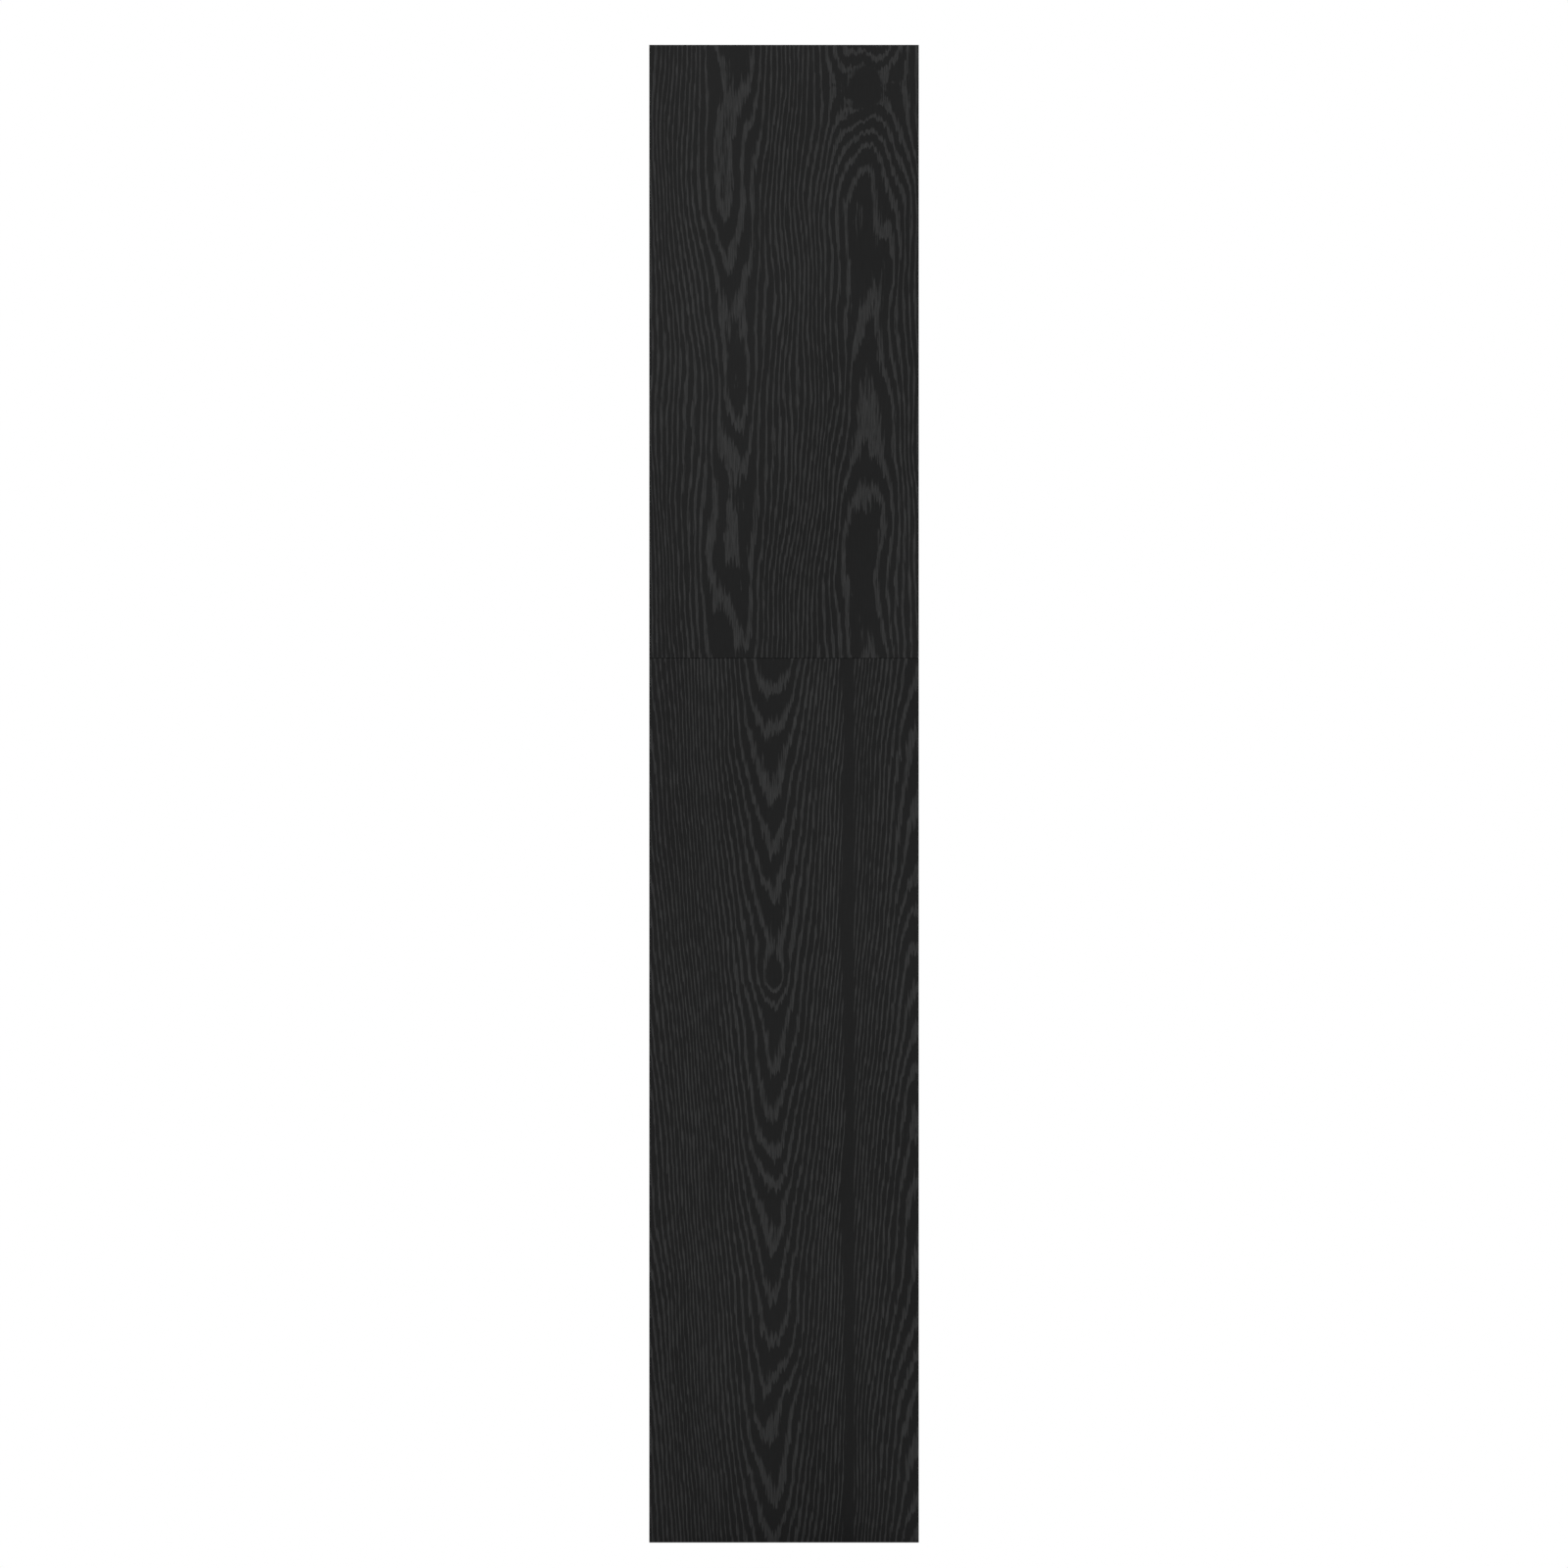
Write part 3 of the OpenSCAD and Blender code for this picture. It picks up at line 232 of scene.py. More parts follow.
def build_oak_figure():
    """Rings of crown-cut oak: slanted bands bent into arches about each crown line."""
    group, given, result = node_group(
        "oak figure",
        ("Vector", "Normal", "Crown", "Span", "Arch", "Lean", "Eyes", "Sway", "Seed",
         "Knot Across", "Knot Along", "Knot Size", "Knot Rings", "Strip Across", "Strip Half"),
        ("Line", "Pore", "Cloud"))
    give = given.outputs
    point = group.nodes.new("ShaderNodeSeparateXYZ")
    group.links.new(give["Vector"], point.inputs[0])
    facing = group.nodes.new("ShaderNodeSeparateXYZ")
    group.links.new(give["Normal"], facing.inputs[0])

    # a face that looks along X is figured across Y, and any other across X
    along_x = math_node(group, "ABSOLUTE", facing.outputs[0])
    along_x = math_node(group, "GREATER_THAN", along_x, side_facing)
    pick = group.nodes.new("ShaderNodeMix")
    group.links.new(along_x, pick.inputs[0])
    group.links.new(point.outputs[0], pick.inputs[2])
    group.links.new(point.outputs[1], pick.inputs[3])
    across = pick.outputs[0]
    along = point.outputs[2]

    def board_noise(seed_step, across_scale, along_scale, detail, width=across):
        """Noise stretched along the board; each seed step gives a pattern of its own."""
        seed = math_node(group, "ADD", give["Seed"], seed_step)
        return stretched_noise(group, width, along, seed, across_scale, along_scale, detail)

    # the whole figure sways slowly along the board
    bent = math_node(group, "MULTIPLY_ADD", board_noise(0.0, 3.0, 4.0, 1.0), give["Sway"], across)

    # arches about the crown line, straight grain half a span away
    from_crown = math_node(group, "SUBTRACT", bent, give["Crown"])
    turn = math_node(group, "DIVIDE", math_node(group, "MULTIPLY", from_crown, math.pi), give["Span"])
    arch = math_node(group, "MULTIPLY", math_node(group, "COSINE", turn), give["Arch"])
    rings = math_node(group, "MULTIPLY_ADD", along, give["Lean"], arch)

    # a knot pushes the rings aside, and is itself plain and dark
    beside = math_node(group, "DIVIDE", math_node(group, "SUBTRACT", bent, give["Knot Across"]),
                       give["Knot Size"])
    above = math_node(group, "DIVIDE", math_node(group, "SUBTRACT", along, give["Knot Along"]),
                      give["Knot Size"])
    above = math_node(group, "MULTIPLY", above, knot_squat)
    apart = math_node(group, "MULTIPLY_ADD", beside, beside, math_node(group, "MULTIPLY", above, above))
    apart = math_node(group, "MULTIPLY_ADD", board_noise(3.0, 95.0, 70.0, 2.0), knot_ragged, apart)
    push = math_node(group, "EXPONENT", math_node(group, "MULTIPLY", apart, knot_push))
    rings = math_node(group, "MULTIPLY_ADD", push, give["Knot Rings"], rings)
    clear_of_knot = ramp_node(group, apart, *knot_edge)

    # one plain strip of heartwood runs up the board, and thins out towards its ends
    wander = board_noise(2.0, 1.0, 3.2, 1.0, width=0.0)
    off_strip = math_node(group, "SUBTRACT", across, give["Strip Across"])
    off_strip = math_node(group, "ABSOLUTE",
                          math_node(group, "MULTIPLY_ADD", wander, strip_wander, off_strip))
    swelling = math_node(group, "MULTIPLY_ADD", wander, *strip_swell)
    half = math_node(group, "MULTIPLY", give["Strip Half"], swelling)
    clear_of_strip = ramp_node(group, math_node(group, "SUBTRACT", half, off_strip),
                               0.0, strip_fade, 1.0, 0.0)

    # slow swells close some rings into eyes, and finer ones fray and streak their edges
    for swell, amount in ((board_noise(5.0, 17.0, 4.5, 1.0), give["Eyes"]),
                          (board_noise(11.0, 90.0, 14.0, 3.0), 0.30),
                          (board_noise(13.0, 420.0, 30.0, 2.0), 0.42)):
        rings = math_node(group, "MULTIPLY_ADD", swell, amount, rings)

    # each ring is light at one side and fades; its width wanders
    phase = math_node(group, "FRACT", rings)
    edge = math_node(group, "MULTIPLY_ADD", board_noise(17.0, 26.0, 3.0, 1.0), line_width_change, line_width)
    line = ramp_node(group, phase, 0.0, line_rise)
    for less in (ramp_node(group, phase, edge, math_node(group, "ADD", edge, line_fade), 1.0, 0.0),
                 clear_of_knot, clear_of_strip):
        line = math_node(group, "MULTIPLY", line, less)

    # the pores are fine broken dashes, and grit breaks them again
    dash = ramp_node(group, board_noise(23.0, 900.0, 42.0, 2.0), -0.35, 0.30)
    grit = ramp_node(group, board_noise(29.0, 1500.0, 300.0, 1.0), -0.9, 0.2, 0.6, 1.0)
    dash = math_node(group, "MULTIPLY", dash, grit)
    dash = math_node(group, "MULTIPLY_ADD", dash, 1.0 - pore_dark, pore_dark)
    group.links.new(math_node(group, "MULTIPLY", line, dash), result.inputs["Line"])
    group.links.new(dash, result.inputs["Pore"])
    group.links.new(board_noise(0.0, 5.0, 2.2, 2.0), result.inputs["Cloud"])
    return group


oak_figure = build_oak_figure()
oak_ground = (0.0113, 0.0113, 0.0113, 1.0)
oak_light = (0.0395, 0.0395, 0.0395, 1.0)
oak_gloss = 0.05
oak_roughness = (0.47, 0.62)
# sizes in metres, arch, eyes and knot rings in rings, and lean in rings a metre
plain_figure = {"Crown": 0.0, "Span": 0.16, "Arch": 5.0, "Lean": 9.0, "Eyes": 1.4, "Sway": 0.006,
                "Seed": 0.0, "Knot Across": 0.0, "Knot Along": -9.0, "Knot Size": 0.02,
                "Knot Rings": 0.0, "Strip Across": 0.0, "Strip Half": 0.0}
grain_turns = {"X": (0, math.radians(-90), 0), "Z": (0, 0, 0)}


def oak_lines(tree, grain, figure):
    """The growth rings of one board, whose grain runs along the axis named."""
    place = tree.nodes.new("ShaderNodeTexCoord")
    rings = tree.nodes.new("ShaderNodeGroup")
    rings.node_tree = oak_figure
    for label, value in {**plain_figure, **figure}.items():
        rings.inputs[label].default_value = value
    for label, source, kind in (("Vector", "Object", "POINT"), ("Normal", "Normal", "NORMAL")):
        turn = tree.nodes.new("ShaderNodeMapping")
        turn.vector_type = kind
        turn.inputs["Rotation"].default_value = grain_turns[grain]
        tree.links.new(place.outputs[source], turn.inputs["Vector"])
        tree.links.new(turn.outputs[0], rings.inputs[label])
    return rings.outputs


def blend_colours(tree, amount, first, second):
    """Goes from the first colour to the second as the amount goes from 0 to 1."""
    blend = tree.nodes.new("ShaderNodeMix")
    blend.data_type = "RGBA"
    for number, value in ((0, amount), (6, first), (7, second)):
        wire(tree, value, blend.inputs[number])
    return blend.outputs[2]


def add_relief(tree, height, strength, depth):
    """Lets the light catch a height over the surface."""
    bump = tree.nodes.new("ShaderNodeBump")
    bump.inputs["Strength"].default_value = strength
    bump.inputs["Distance"].default_value = depth
    tree.links.new(height, bump.inputs["Height"])
    tree.links.new(bump.outputs[0], tree.nodes["Principled BSDF"].inputs["Normal"])


def shade_oak(tree, amount, line, height):
    """Colour from dark ground to light line, a satin gloss, and lines that can just be felt."""
    shader = tree.nodes["Principled BSDF"]
    tree.links.new(blend_colours(tree, amount, oak_ground, oak_light), shader.inputs["Base Color"])
    tree.links.new(ramp_node(tree, line, 0.0, 1.0, *oak_roughness), shader.inputs["Roughness"])
    shader.inputs["Specular IOR Level"].default_value = oak_gloss
    add_relief(tree, height, 0.25, 0.0002)


def black_oak(name, figure, grain="Z"):
    """Black oak laminate with the given figure."""
    material, tree, shader = new_material(name)
    line, pore, cloud = oak_lines(tree, grain, figure)
    amount = math_node(tree, "MULTIPLY_ADD", line, 0.90, math_node(tree, "MULTIPLY", cloud, 0.12))
    amount = math_node(tree, "MULTIPLY_ADD", pore, 0.10, amount)
    shade_oak(tree, amount, line, line)
    return material


def finish_node(name, material):
    """Gives a carried-over piece its material."""
    data = nodes[name].data
    data.materials.clear()
    data.materials.append(material)
    return nodes[name]


depth = case_size.y
upper_right = black_oak("oak_upper_right", {
    "Crown": case_low.y + 0.81 * depth, "Span": 0.50 * depth, "Arch": -9.5, "Lean": 6.3, "Eyes": 2.6,
    "Sway": 0.014, "Seed": 3.0, "Knot Across": case_low.y + 0.80 * depth, "Knot Along": case_high.z - 0.052,
    "Knot Size": 0.021, "Knot Rings": 4.2})
lower_right = black_oak("oak_lower_right", {
    "Crown": case_low.y + 0.455 * depth, "Span": 0.56 * depth, "Arch": 13.0, "Lean": 17.0, "Eyes": 1.3,
    "Sway": 0.007, "Seed": 8.0, "Knot Across": case_low.y + 0.46 * depth, "Knot Along": 0.68,
    "Knot Size": 0.009, "Knot Rings": 1.4, "Strip Across": case_low.y + 0.74 * depth, "Strip Half": 0.010})
upper_left = black_oak("oak_upper_left", {
    "Crown": case_low.y + 0.40 * depth, "Span": 0.52 * depth, "Arch": -10.0, "Lean": 9.0, "Eyes": 2.0,
    "Sway": 0.008, "Seed": 14.0})
lower_left = black_oak("oak_lower_left", {
    "Crown": case_low.y + 0.58 * depth, "Span": 0.54 * depth, "Arch": 12.5, "Lean": 16.0, "Eyes": 1.3,
    "Sway": 0.008, "Seed": 21.0})
finish_node("upper_side_right", upper_right)
finish_node("lower_side_right", lower_right)
finish_node("upper_side_left", upper_left)
finish_node("lower_side_left", lower_left)

# The flat boards inside and across the case are cut from the same sheet, with the grain
# along their length, and the cut edges of all but the rails have their sharp corners taken off.
soft_corner = 0.0005


def soften(name, width=soft_corner):
    """Takes the sharp corners off a carried-over piece, without changing its shape."""
    weld = nodes[name].modifiers.new("joined faces", "WELD")
    weld.merge_threshold = 0.00001
    corner = nodes[name].modifiers.new("soft corners", "BEVEL")
    corner.width = width
    corner.segments = 2
    corner.limit_method = "ANGLE"
    corner.angle_limit = math.radians(50)
    corner.use_clamp_overlap = True


oak_across = black_oak("oak_across", {
    "Crown": 0.09, "Span": 0.17, "Arch": 9.0, "Lean": 11.0, "Eyes": 1.2, "Seed": 31.0}, grain="X")
oak_inside = black_oak("oak_inside", {
    "Crown": 0.04, "Span": 0.15, "Arch": 8.0, "Lean": 11.0, "Eyes": 1.2, "Seed": 37.0}, grain="X")
oak_upright = black_oak("oak_upright", {
    "Crown": 0.02, "Span": 0.15, "Arch": 8.0, "Lean": 11.0, "Eyes": 1.2, "Seed": 41.0})
for name in ("top_panel", "plinth_boards", "front_rails", "rear_rails"):
    finish_node(name, oak_across)
for name in ("bottom_panel", "seatboard"):
    finish_node(name, oak_inside)
finish_node("seat_cheeks", oak_upright)
for name in ("upper_side_right", "lower_side_right", "upper_side_left", "lower_side_left",
             "top_panel", "bottom_panel", "plinth_boards", "seatboard", "seat_cheeks"):
    soften(name)


# ---------- Back panels ----------
# Two sheets of thin board, painted flat black by roller, slid down grooves in the sides.
# They are held to the rails by small zinc-plated screws with a socket in the head.
def start_piece():
    """Nothing stays selected, so that an operator acts on the new piece alone."""
    if bpy.context.object and bpy.context.object.mode != "OBJECT":
        bpy.ops.object.mode_set(mode="OBJECT")
    bpy.ops.object.select_all(action="DESELECT")


def dress_piece(name, material, smooth=30):
    """Names the active object, applies its place to its mesh and gives it its finish."""
    if bpy.context.object.mode != "OBJECT":
        bpy.ops.object.mode_set(mode="OBJECT")
    piece = bpy.context.object
    piece.name = name
    bpy.ops.object.transform_apply(location=True, rotation=True, scale=True)
    bpy.ops.object.shade_smooth_by_angle(angle=math.radians(smooth))
    piece.data.materials.clear()
    piece.data.materials.append(material)
    return piece


def finish_piece(name, body, material, replaced=(), smooth=30):
    """Dresses the active object, and sets the body that it moves with."""
    piece = dress_piece(name, material, smooth)
    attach(piece, body)
    if replaced:
        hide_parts(*replaced)


def close_mesh():
    """Merges what meets, and turns every face outwards."""
    bpy.ops.mesh.select_all(action="SELECT")
    bpy.ops.mesh.remove_doubles(threshold=0.000004)
    bpy.ops.mesh.normals_make_consistent(inside=False)


def draw_line(points):
    """A line of edges through the points, drawn from a single vertex."""
    bpy.ops.mesh.primitive_plane_add(size=0.01, location=points[0])
    bpy.ops.object.mode_set(mode="EDIT")
    bpy.ops.mesh.select_mode(type="VERT")
    bpy.ops.mesh.select_all(action="SELECT")
    bpy.ops.mesh.merge(type="CENTER")
    for before, after in zip(points, points[1:]):
        bpy.ops.mesh.extrude_region_move(TRANSFORM_OT_translate={"value": after - before})


def turn_piece(centre, axis, profile, steps=64):
    """Turns a piece on a lathe: a profile of (radius, height) points is drawn and spun.

    The axis is "Y" or "Z", and a closed ring repeats its first point at the end.
    """
    start_piece()
    out = Vector((1, 0, 0))
    up = Vector((0, 1, 0)) if axis == "Y" else Vector((0, 0, 1))
    points = [Vector(centre) + out * radius + up * height for radius, height in profile]
    draw_line(points)
    bpy.ops.mesh.select_all(action="SELECT")
    bpy.ops.mesh.spin(steps=steps, angle=math.tau, center=centre, axis=up)
    close_mesh()


def join_pieces(pieces):
    """Joins the pieces into the first of them."""
    start_piece()
    for piece in pieces:
        piece.select_set(True)
    bpy.context.view_layer.objects.active = pieces[0]
    bpy.ops.object.join()


def copy_piece(moves, turns=None):
    """Copies the active piece once for each move, and joins the copies into it."""
    bpy.ops.object.mode_set(mode="OBJECT")
    first = bpy.context.object
    copies = [first]
    for number, move in enumerate(moves):
        twin = first.copy()
        twin.data = first.data.copy()
        twin.location = first.location + Vector(move)
        if turns:
            twin.rotation_euler = turns[number]
        scene.collection.objects.link(twin)
        copies.append(twin)
    join_pieces(copies)


def build_metal_finish():
    """Streaks of a brushed or turned surface, and the slow clouds of handling and tarnish.

    Turned surfaces are streaked round the Y axis, and brushed ones along Z.
    """
    group, given, result = node_group("metal finish", ("Vector", "Turned", "Fineness", "Seed"),
                                      ("Streak", "Cloud"))
    point = group.nodes.new("ShaderNodeSeparateXYZ")
    group.links.new(given.outputs["Vector"], point.inputs[0])
    x, y, z = point.outputs
    radius = math_node(group, "SQRT", math_node(group, "ADD", math_node(group, "MULTIPLY", x, x),
                                                math_node(group, "MULTIPLY", z, z)))
    turned = given.outputs["Turned"]
    fine = given.outputs["Fineness"]
    pick = group.nodes.new("ShaderNodeMix")
    group.links.new(turned, pick.inputs[0])
    group.links.new(x, pick.inputs[2])
    group.links.new(radius, pick.inputs[3])
    along = math_node(group, "MULTIPLY", z, math_node(group, "MULTIPLY_ADD", turned, -0.03, 0.03))
    place = group.nodes.new("ShaderNodeCombineXYZ")
    group.links.new(math_node(group, "MULTIPLY", pick.outputs[0], fine), place.inputs[0])
    group.links.new(math_node(group, "MULTIPLY", y, fine), place.inputs[1])
    group.links.new(math_node(group, "MULTIPLY", along, fine), place.inputs[2])
    streak = group.nodes.new("ShaderNodeTexNoise")
    streak.inputs["Scale"].default_value = 1.0
    streak.inputs["Detail"].default_value = 3.0
    group.links.new(place.outputs[0], streak.inputs["Vector"])
    group.links.new(math_node(group, "MULTIPLY_ADD", streak.outputs[0], 2.0, -1.0),
                    result.inputs["Streak"])
    cloud = group.nodes.new("ShaderNodeTexNoise")
    cloud.noise_dimensions = "4D"
    cloud.inputs["Scale"].default_value = 38.0
    cloud.inputs["Detail"].default_value = 4.0
    group.links.new(given.outputs["Seed"], cloud.inputs["W"])
    group.links.new(given.outputs["Vector"], cloud.inputs["Vector"])
    group.links.new(ramp_node(group, cloud.outputs[0], 0.30, 0.75), result.inputs["Cloud"])
    return group


metal_finish = build_metal_finish()
roughness_change = 0.35


def metal(name, colour, roughness, axis=None, centre=(0, 0, 0), fineness=2200.0, seed=0.0,
          tarnish=(0.88, 0.84, 0.78), relief=0.06):
    """A metal finish, turned about an axis through centre, or brushed upright with no axis."""
    material, tree, shader = new_material(name)
    place = tree.nodes.new("ShaderNodeTexCoord")
    turn = tree.nodes.new("ShaderNodeMapping")
    turn.vector_type = "POINT"
    tilt = math.radians(90) if axis == "Z" else 0.0
    turn.inputs["Rotation"].default_value = (tilt, 0, 0)
    turn.inputs["Location"].default_value = -(Matrix.Rotation(tilt, 4, "X") @ Vector(centre))
    tree.links.new(place.outputs["Object"], turn.inputs["Vector"])
    finish = tree.nodes.new("ShaderNodeGroup")
    finish.node_tree = metal_finish
    for label, value in (("Turned", 1.0 if axis else 0.0), ("Fineness", fineness), ("Seed", seed)):
        finish.inputs[label].default_value = value
    tree.links.new(turn.outputs[0], finish.inputs["Vector"])
    streak, cloud = finish.outputs
    dull = tuple(part * fade for part, fade in zip(colour, tarnish))
    tree.links.new(blend_colours(tree, cloud, (*colour, 1.0), (*dull, 1.0)), shader.inputs["Base Color"])
    shader.inputs["Metallic"].default_value = 1.0
    worn = math_node(tree, "MULTIPLY_ADD", cloud, roughness * roughness_change, roughness)
    tree.links.new(math_node(tree, "MULTIPLY_ADD", streak, roughness * roughness_change, worn),
                   shader.inputs["Roughness"])
    add_relief(tree, streak, relief, 0.00005)
    return material


def surface_noise(tree, scale, detail):
    """Noise that keeps its place on the object."""
    place = tree.nodes.new("ShaderNodeTexCoord")
    noise = tree.nodes.new("ShaderNodeTexNoise")
    noise.inputs["Scale"].default_value = scale
    noise.inputs["Detail"].default_value = detail
    tree.links.new(place.outputs["Object"], noise.inputs["Vector"])
    return noise.outputs[0]


def coated(name, colour, roughness, speckle=700.0, depth=0.0001, change=0.25, strength=0.3):
    """Paint, plastic or enamel: a colour with a slow drift and the fine dimples of its surface."""
    material, tree, shader = new_material(name)
    drift = surface_noise(tree, 14.0, 5.0)
    darker = tuple(part * (1 - change) for part in colour)
    shade = blend_colours(tree, ramp_node(tree, drift, 0.35, 0.7), (*colour, 1.0), (*darker, 1.0))
    tree.links.new(shade, shader.inputs["Base Color"])
    tree.links.new(ramp_node(tree, drift, 0.3, 0.7, roughness, roughness + 0.1), shader.inputs["Roughness"])
    add_relief(tree, surface_noise(tree, speckle, 2.0), strength, depth)
    return material


black_board = coated("black_board_paint", (0.012, 0.012, 0.013), 0.62, speckle=420.0, strength=0.15)
for name in ("lower_back", "upper_back"):
    finish_node(name, black_board)
zinc = metal("zinc_plate", (0.50, 0.51, 0.52), 0.34, fineness=900.0, seed=2.0, tarnish=(0.72, 0.72, 0.70))

rear_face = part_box("upper_back")[1].y
screw_r = 0.0042
screw_rise = 0.0020
socket_r = 0.0012
socket_deep = 0.0012
rail_low, rail_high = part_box("rear_rails")
screw_z = (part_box("bottom_panel")[0].z + 0.009, rail_low.z + 0.009, rail_high.z - 0.009,
           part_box("top_panel")[0].z - 0.012)
screw_x = (-0.15, 0.0, 0.15)
turn_piece((screw_x[0], rear_face, screw_z[0]), "Y",
           [(0, 0), (screw_r, 0), (screw_r, screw_rise * 0.4), (screw_r * 0.75, screw_rise * 0.85),
            (screw_r * 0.35, screw_rise), (socket_r, screw_rise), (socket_r, screw_rise - socket_deep),
            (0, screw_rise - socket_deep)], steps=20)
copy_piece([(x - screw_x[0], 0, z - screw_z[0]) for z in screw_z for x in screw_x
            if (x, z) != (screw_x[0], screw_z[0])])
finish_piece("back_panel_screws", "case", zinc)


# ---------- Bolts, bushes, catches, feet and wall bracket ----------
# Zinc-plated bolts hold the two sections together through the seam rails. The doors turn in
# flanged brass bushes, and magnets in black plastic blocks hold them shut.
brass_colour = (0.78, 0.55, 0.22)
steel_colour = (0.56, 0.57, 0.58)
plain_brass = metal("plain_brass", brass_colour, 0.27, fineness=1500.0, seed=4.0)
black_plastic = coated("black_plastic", (0.018, 0.018, 0.019), 0.42, speckle=1500.0, strength=0.2)
black_iron = coated("black_iron_paint", (0.020, 0.020, 0.021), 0.38, speckle=900.0, strength=0.25)
for name, finish in (("joining_bolts", zinc), ("hinge_bushes", plain_brass), ("lock_keeper", zinc),
                     ("magnet_catches", black_plastic), ("levelling_feet", black_plastic),
                     ("wall_bracket", black_iron), ("gong_block", black_iron),
                     ("hood_door_pins", zinc), ("trunk_door_pins", zinc)):
    finish_node(name, finish)
soften("magnet_catches")
soften("wall_bracket", 0.0003)


def middle_of(name):
    """The middle of a carried-over piece."""
    low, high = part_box(name)
    return (low + high) / 2


def bar_piece(middle, size, corner, steps=2):
    """A flat bar of the size given, with its sharp edges taken off."""
    start_piece()
    bpy.ops.mesh.primitive_cube_add(size=1, location=middle)
    bpy.ops.object.mode_set(mode="EDIT")
    bpy.ops.mesh.select_all(action="SELECT")
    bpy.ops.transform.resize(value=size)
    bpy.ops.mesh.bevel(offset=corner, segments=steps, affect="EDGES")


# a thin steel plate fixed to each door, for its magnet
strike_t = 0.00028
strike_inset = 0.008
hood_strike_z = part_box("hood_door_frame")[0].z + strike_inset
trunk_strike_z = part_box("trunk_door_frame")[1].z - strike_inset
for door, strike_z in (("hood_door", hood_strike_z), ("trunk_door", trunk_strike_z)):
    door_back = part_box(door + "_frame")[1].y
    bar_piece((middle_of("magnet_catches").x, door_back + strike_t / 2, strike_z),
              (0.034, strike_t, 0.012), 0.00008, steps=1)
    finish_piece(door + "_strike_plate", door, zinc)


# ---------- Doors ----------
# Each door is a frame of two stiles and two rails in the same black oak, with a sheet of
# clear glass set in a rebate from behind and held by square beads. The sheet is so thin that
# it hardly bends what is seen through it, so it only tints and reflects.
def object_point(tree):
    """The three coordinates of a point on the object."""
    place = tree.nodes.new("ShaderNodeTexCoord")
    point = tree.nodes.new("ShaderNodeSeparateXYZ")
    tree.links.new(place.outputs["Object"], point.inputs[0])
    return point.outputs


def door_oak(name, stile_x, seed):
    """Black oak whose grain runs up the stiles and along the rails, which meet at stile_x."""
    material, tree, shader = new_material(name)
    off_joint = math_node(tree, "SUBTRACT", math_node(tree, "ABSOLUTE", object_point(tree)[0]), stile_x)
    in_stile = math_node(tree, "GREATER_THAN", off_joint, 0.0)
    joint = ramp_node(tree, math_node(tree, "ABSOLUTE", off_joint), 0.0001, 0.0004)
    strip = {"Span": 0.065, "Arch": 6.0, "Lean": 5.0, "Eyes": 0.8}
    rail = oak_lines(tree, "X", {**strip, "Seed": seed + 3.0})
    stile = oak_lines(tree, "Z", {**strip, "Seed": seed})
    pick = tree.nodes.new("ShaderNodeMix")
    tree.links.new(in_stile, pick.inputs[0])
    tree.links.new(rail["Line"], pick.inputs[2])
    tree.links.new(stile["Line"], pick.inputs[3])
    line = math_node(tree, "MULTIPLY", pick.outputs[0], joint)
    amount = math_node(tree, "MULTIPLY", line, 0.85)
    shade_oak(tree, amount, line, math_node(tree, "ADD", line, joint))
    return material


stile_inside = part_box("hood_glass")[1].x - 0.0077
frame_oak = door_oak("oak_door_frame", stile_inside, 51.0)

glass, tree, shader = new_material("clear_float_glass")
for label, value in (("Base Color", (0.95, 0.99, 0.97, 1.0)), ("Transmission Weight", 1.0), ("IOR", 1.02),
                     ("Coat Weight", 1.0), ("Coat Roughness", 0.02), ("Coat IOR", 1.9), ("Alpha", 0.35)):
    shader.inputs[label].default_value = value
smear = surface_noise(tree, 9.0, 6.0)
tree.links.new(ramp_node(tree, smear, 0.45, 0.8, 0.005, 0.06), shader.inputs["Roughness"])
for part in ("hood", "trunk"):
    finish_node(part + "_door_frame", frame_oak)
    soften(part + "_door_frame", 0.0008)
    finish_node(part + "_glass", glass)
    finish_node(part + "_glass_beads", frame_oak)
    soften(part + "_glass_beads", 0.0006)

# the lock of the lower door: a plated barrel held by a nut, with a brass plug and its cam
lock_axis = middle_of("trunk_lock_body")
lock_steel = metal("lock_plate", (0.60, 0.60, 0.60), 0.22, axis="Y", centre=lock_axis, seed=6.0)
lock_brass = metal("lock_plug_brass", brass_colour, 0.25, axis="Y", centre=lock_axis, seed=7.0)
finish_node("trunk_lock_body", lock_steel)
finish_node("trunk_lock_plug", lock_brass)


# ---------- Movement plates and pillars ----------
# Two brass plates carry all the arbors. Turned brass pillars hold them apart, riveted at the
# front and screwed at the back, and steel feet bolt the movement to the seatboard.
plate_brass = metal("plate_brass", brass_colour, 0.26, fineness=1300.0, seed=11.0)
stud_steel = metal("stud_steel", steel_colour, 0.28, fineness=900.0, seed=12.0)
for name in ("front_plate", "back_plate", "suspension_cock"):
    finish_node(name, plate_brass)
    soften(name, 0.0003)
finish_node("movement_brackets", stud_steel)

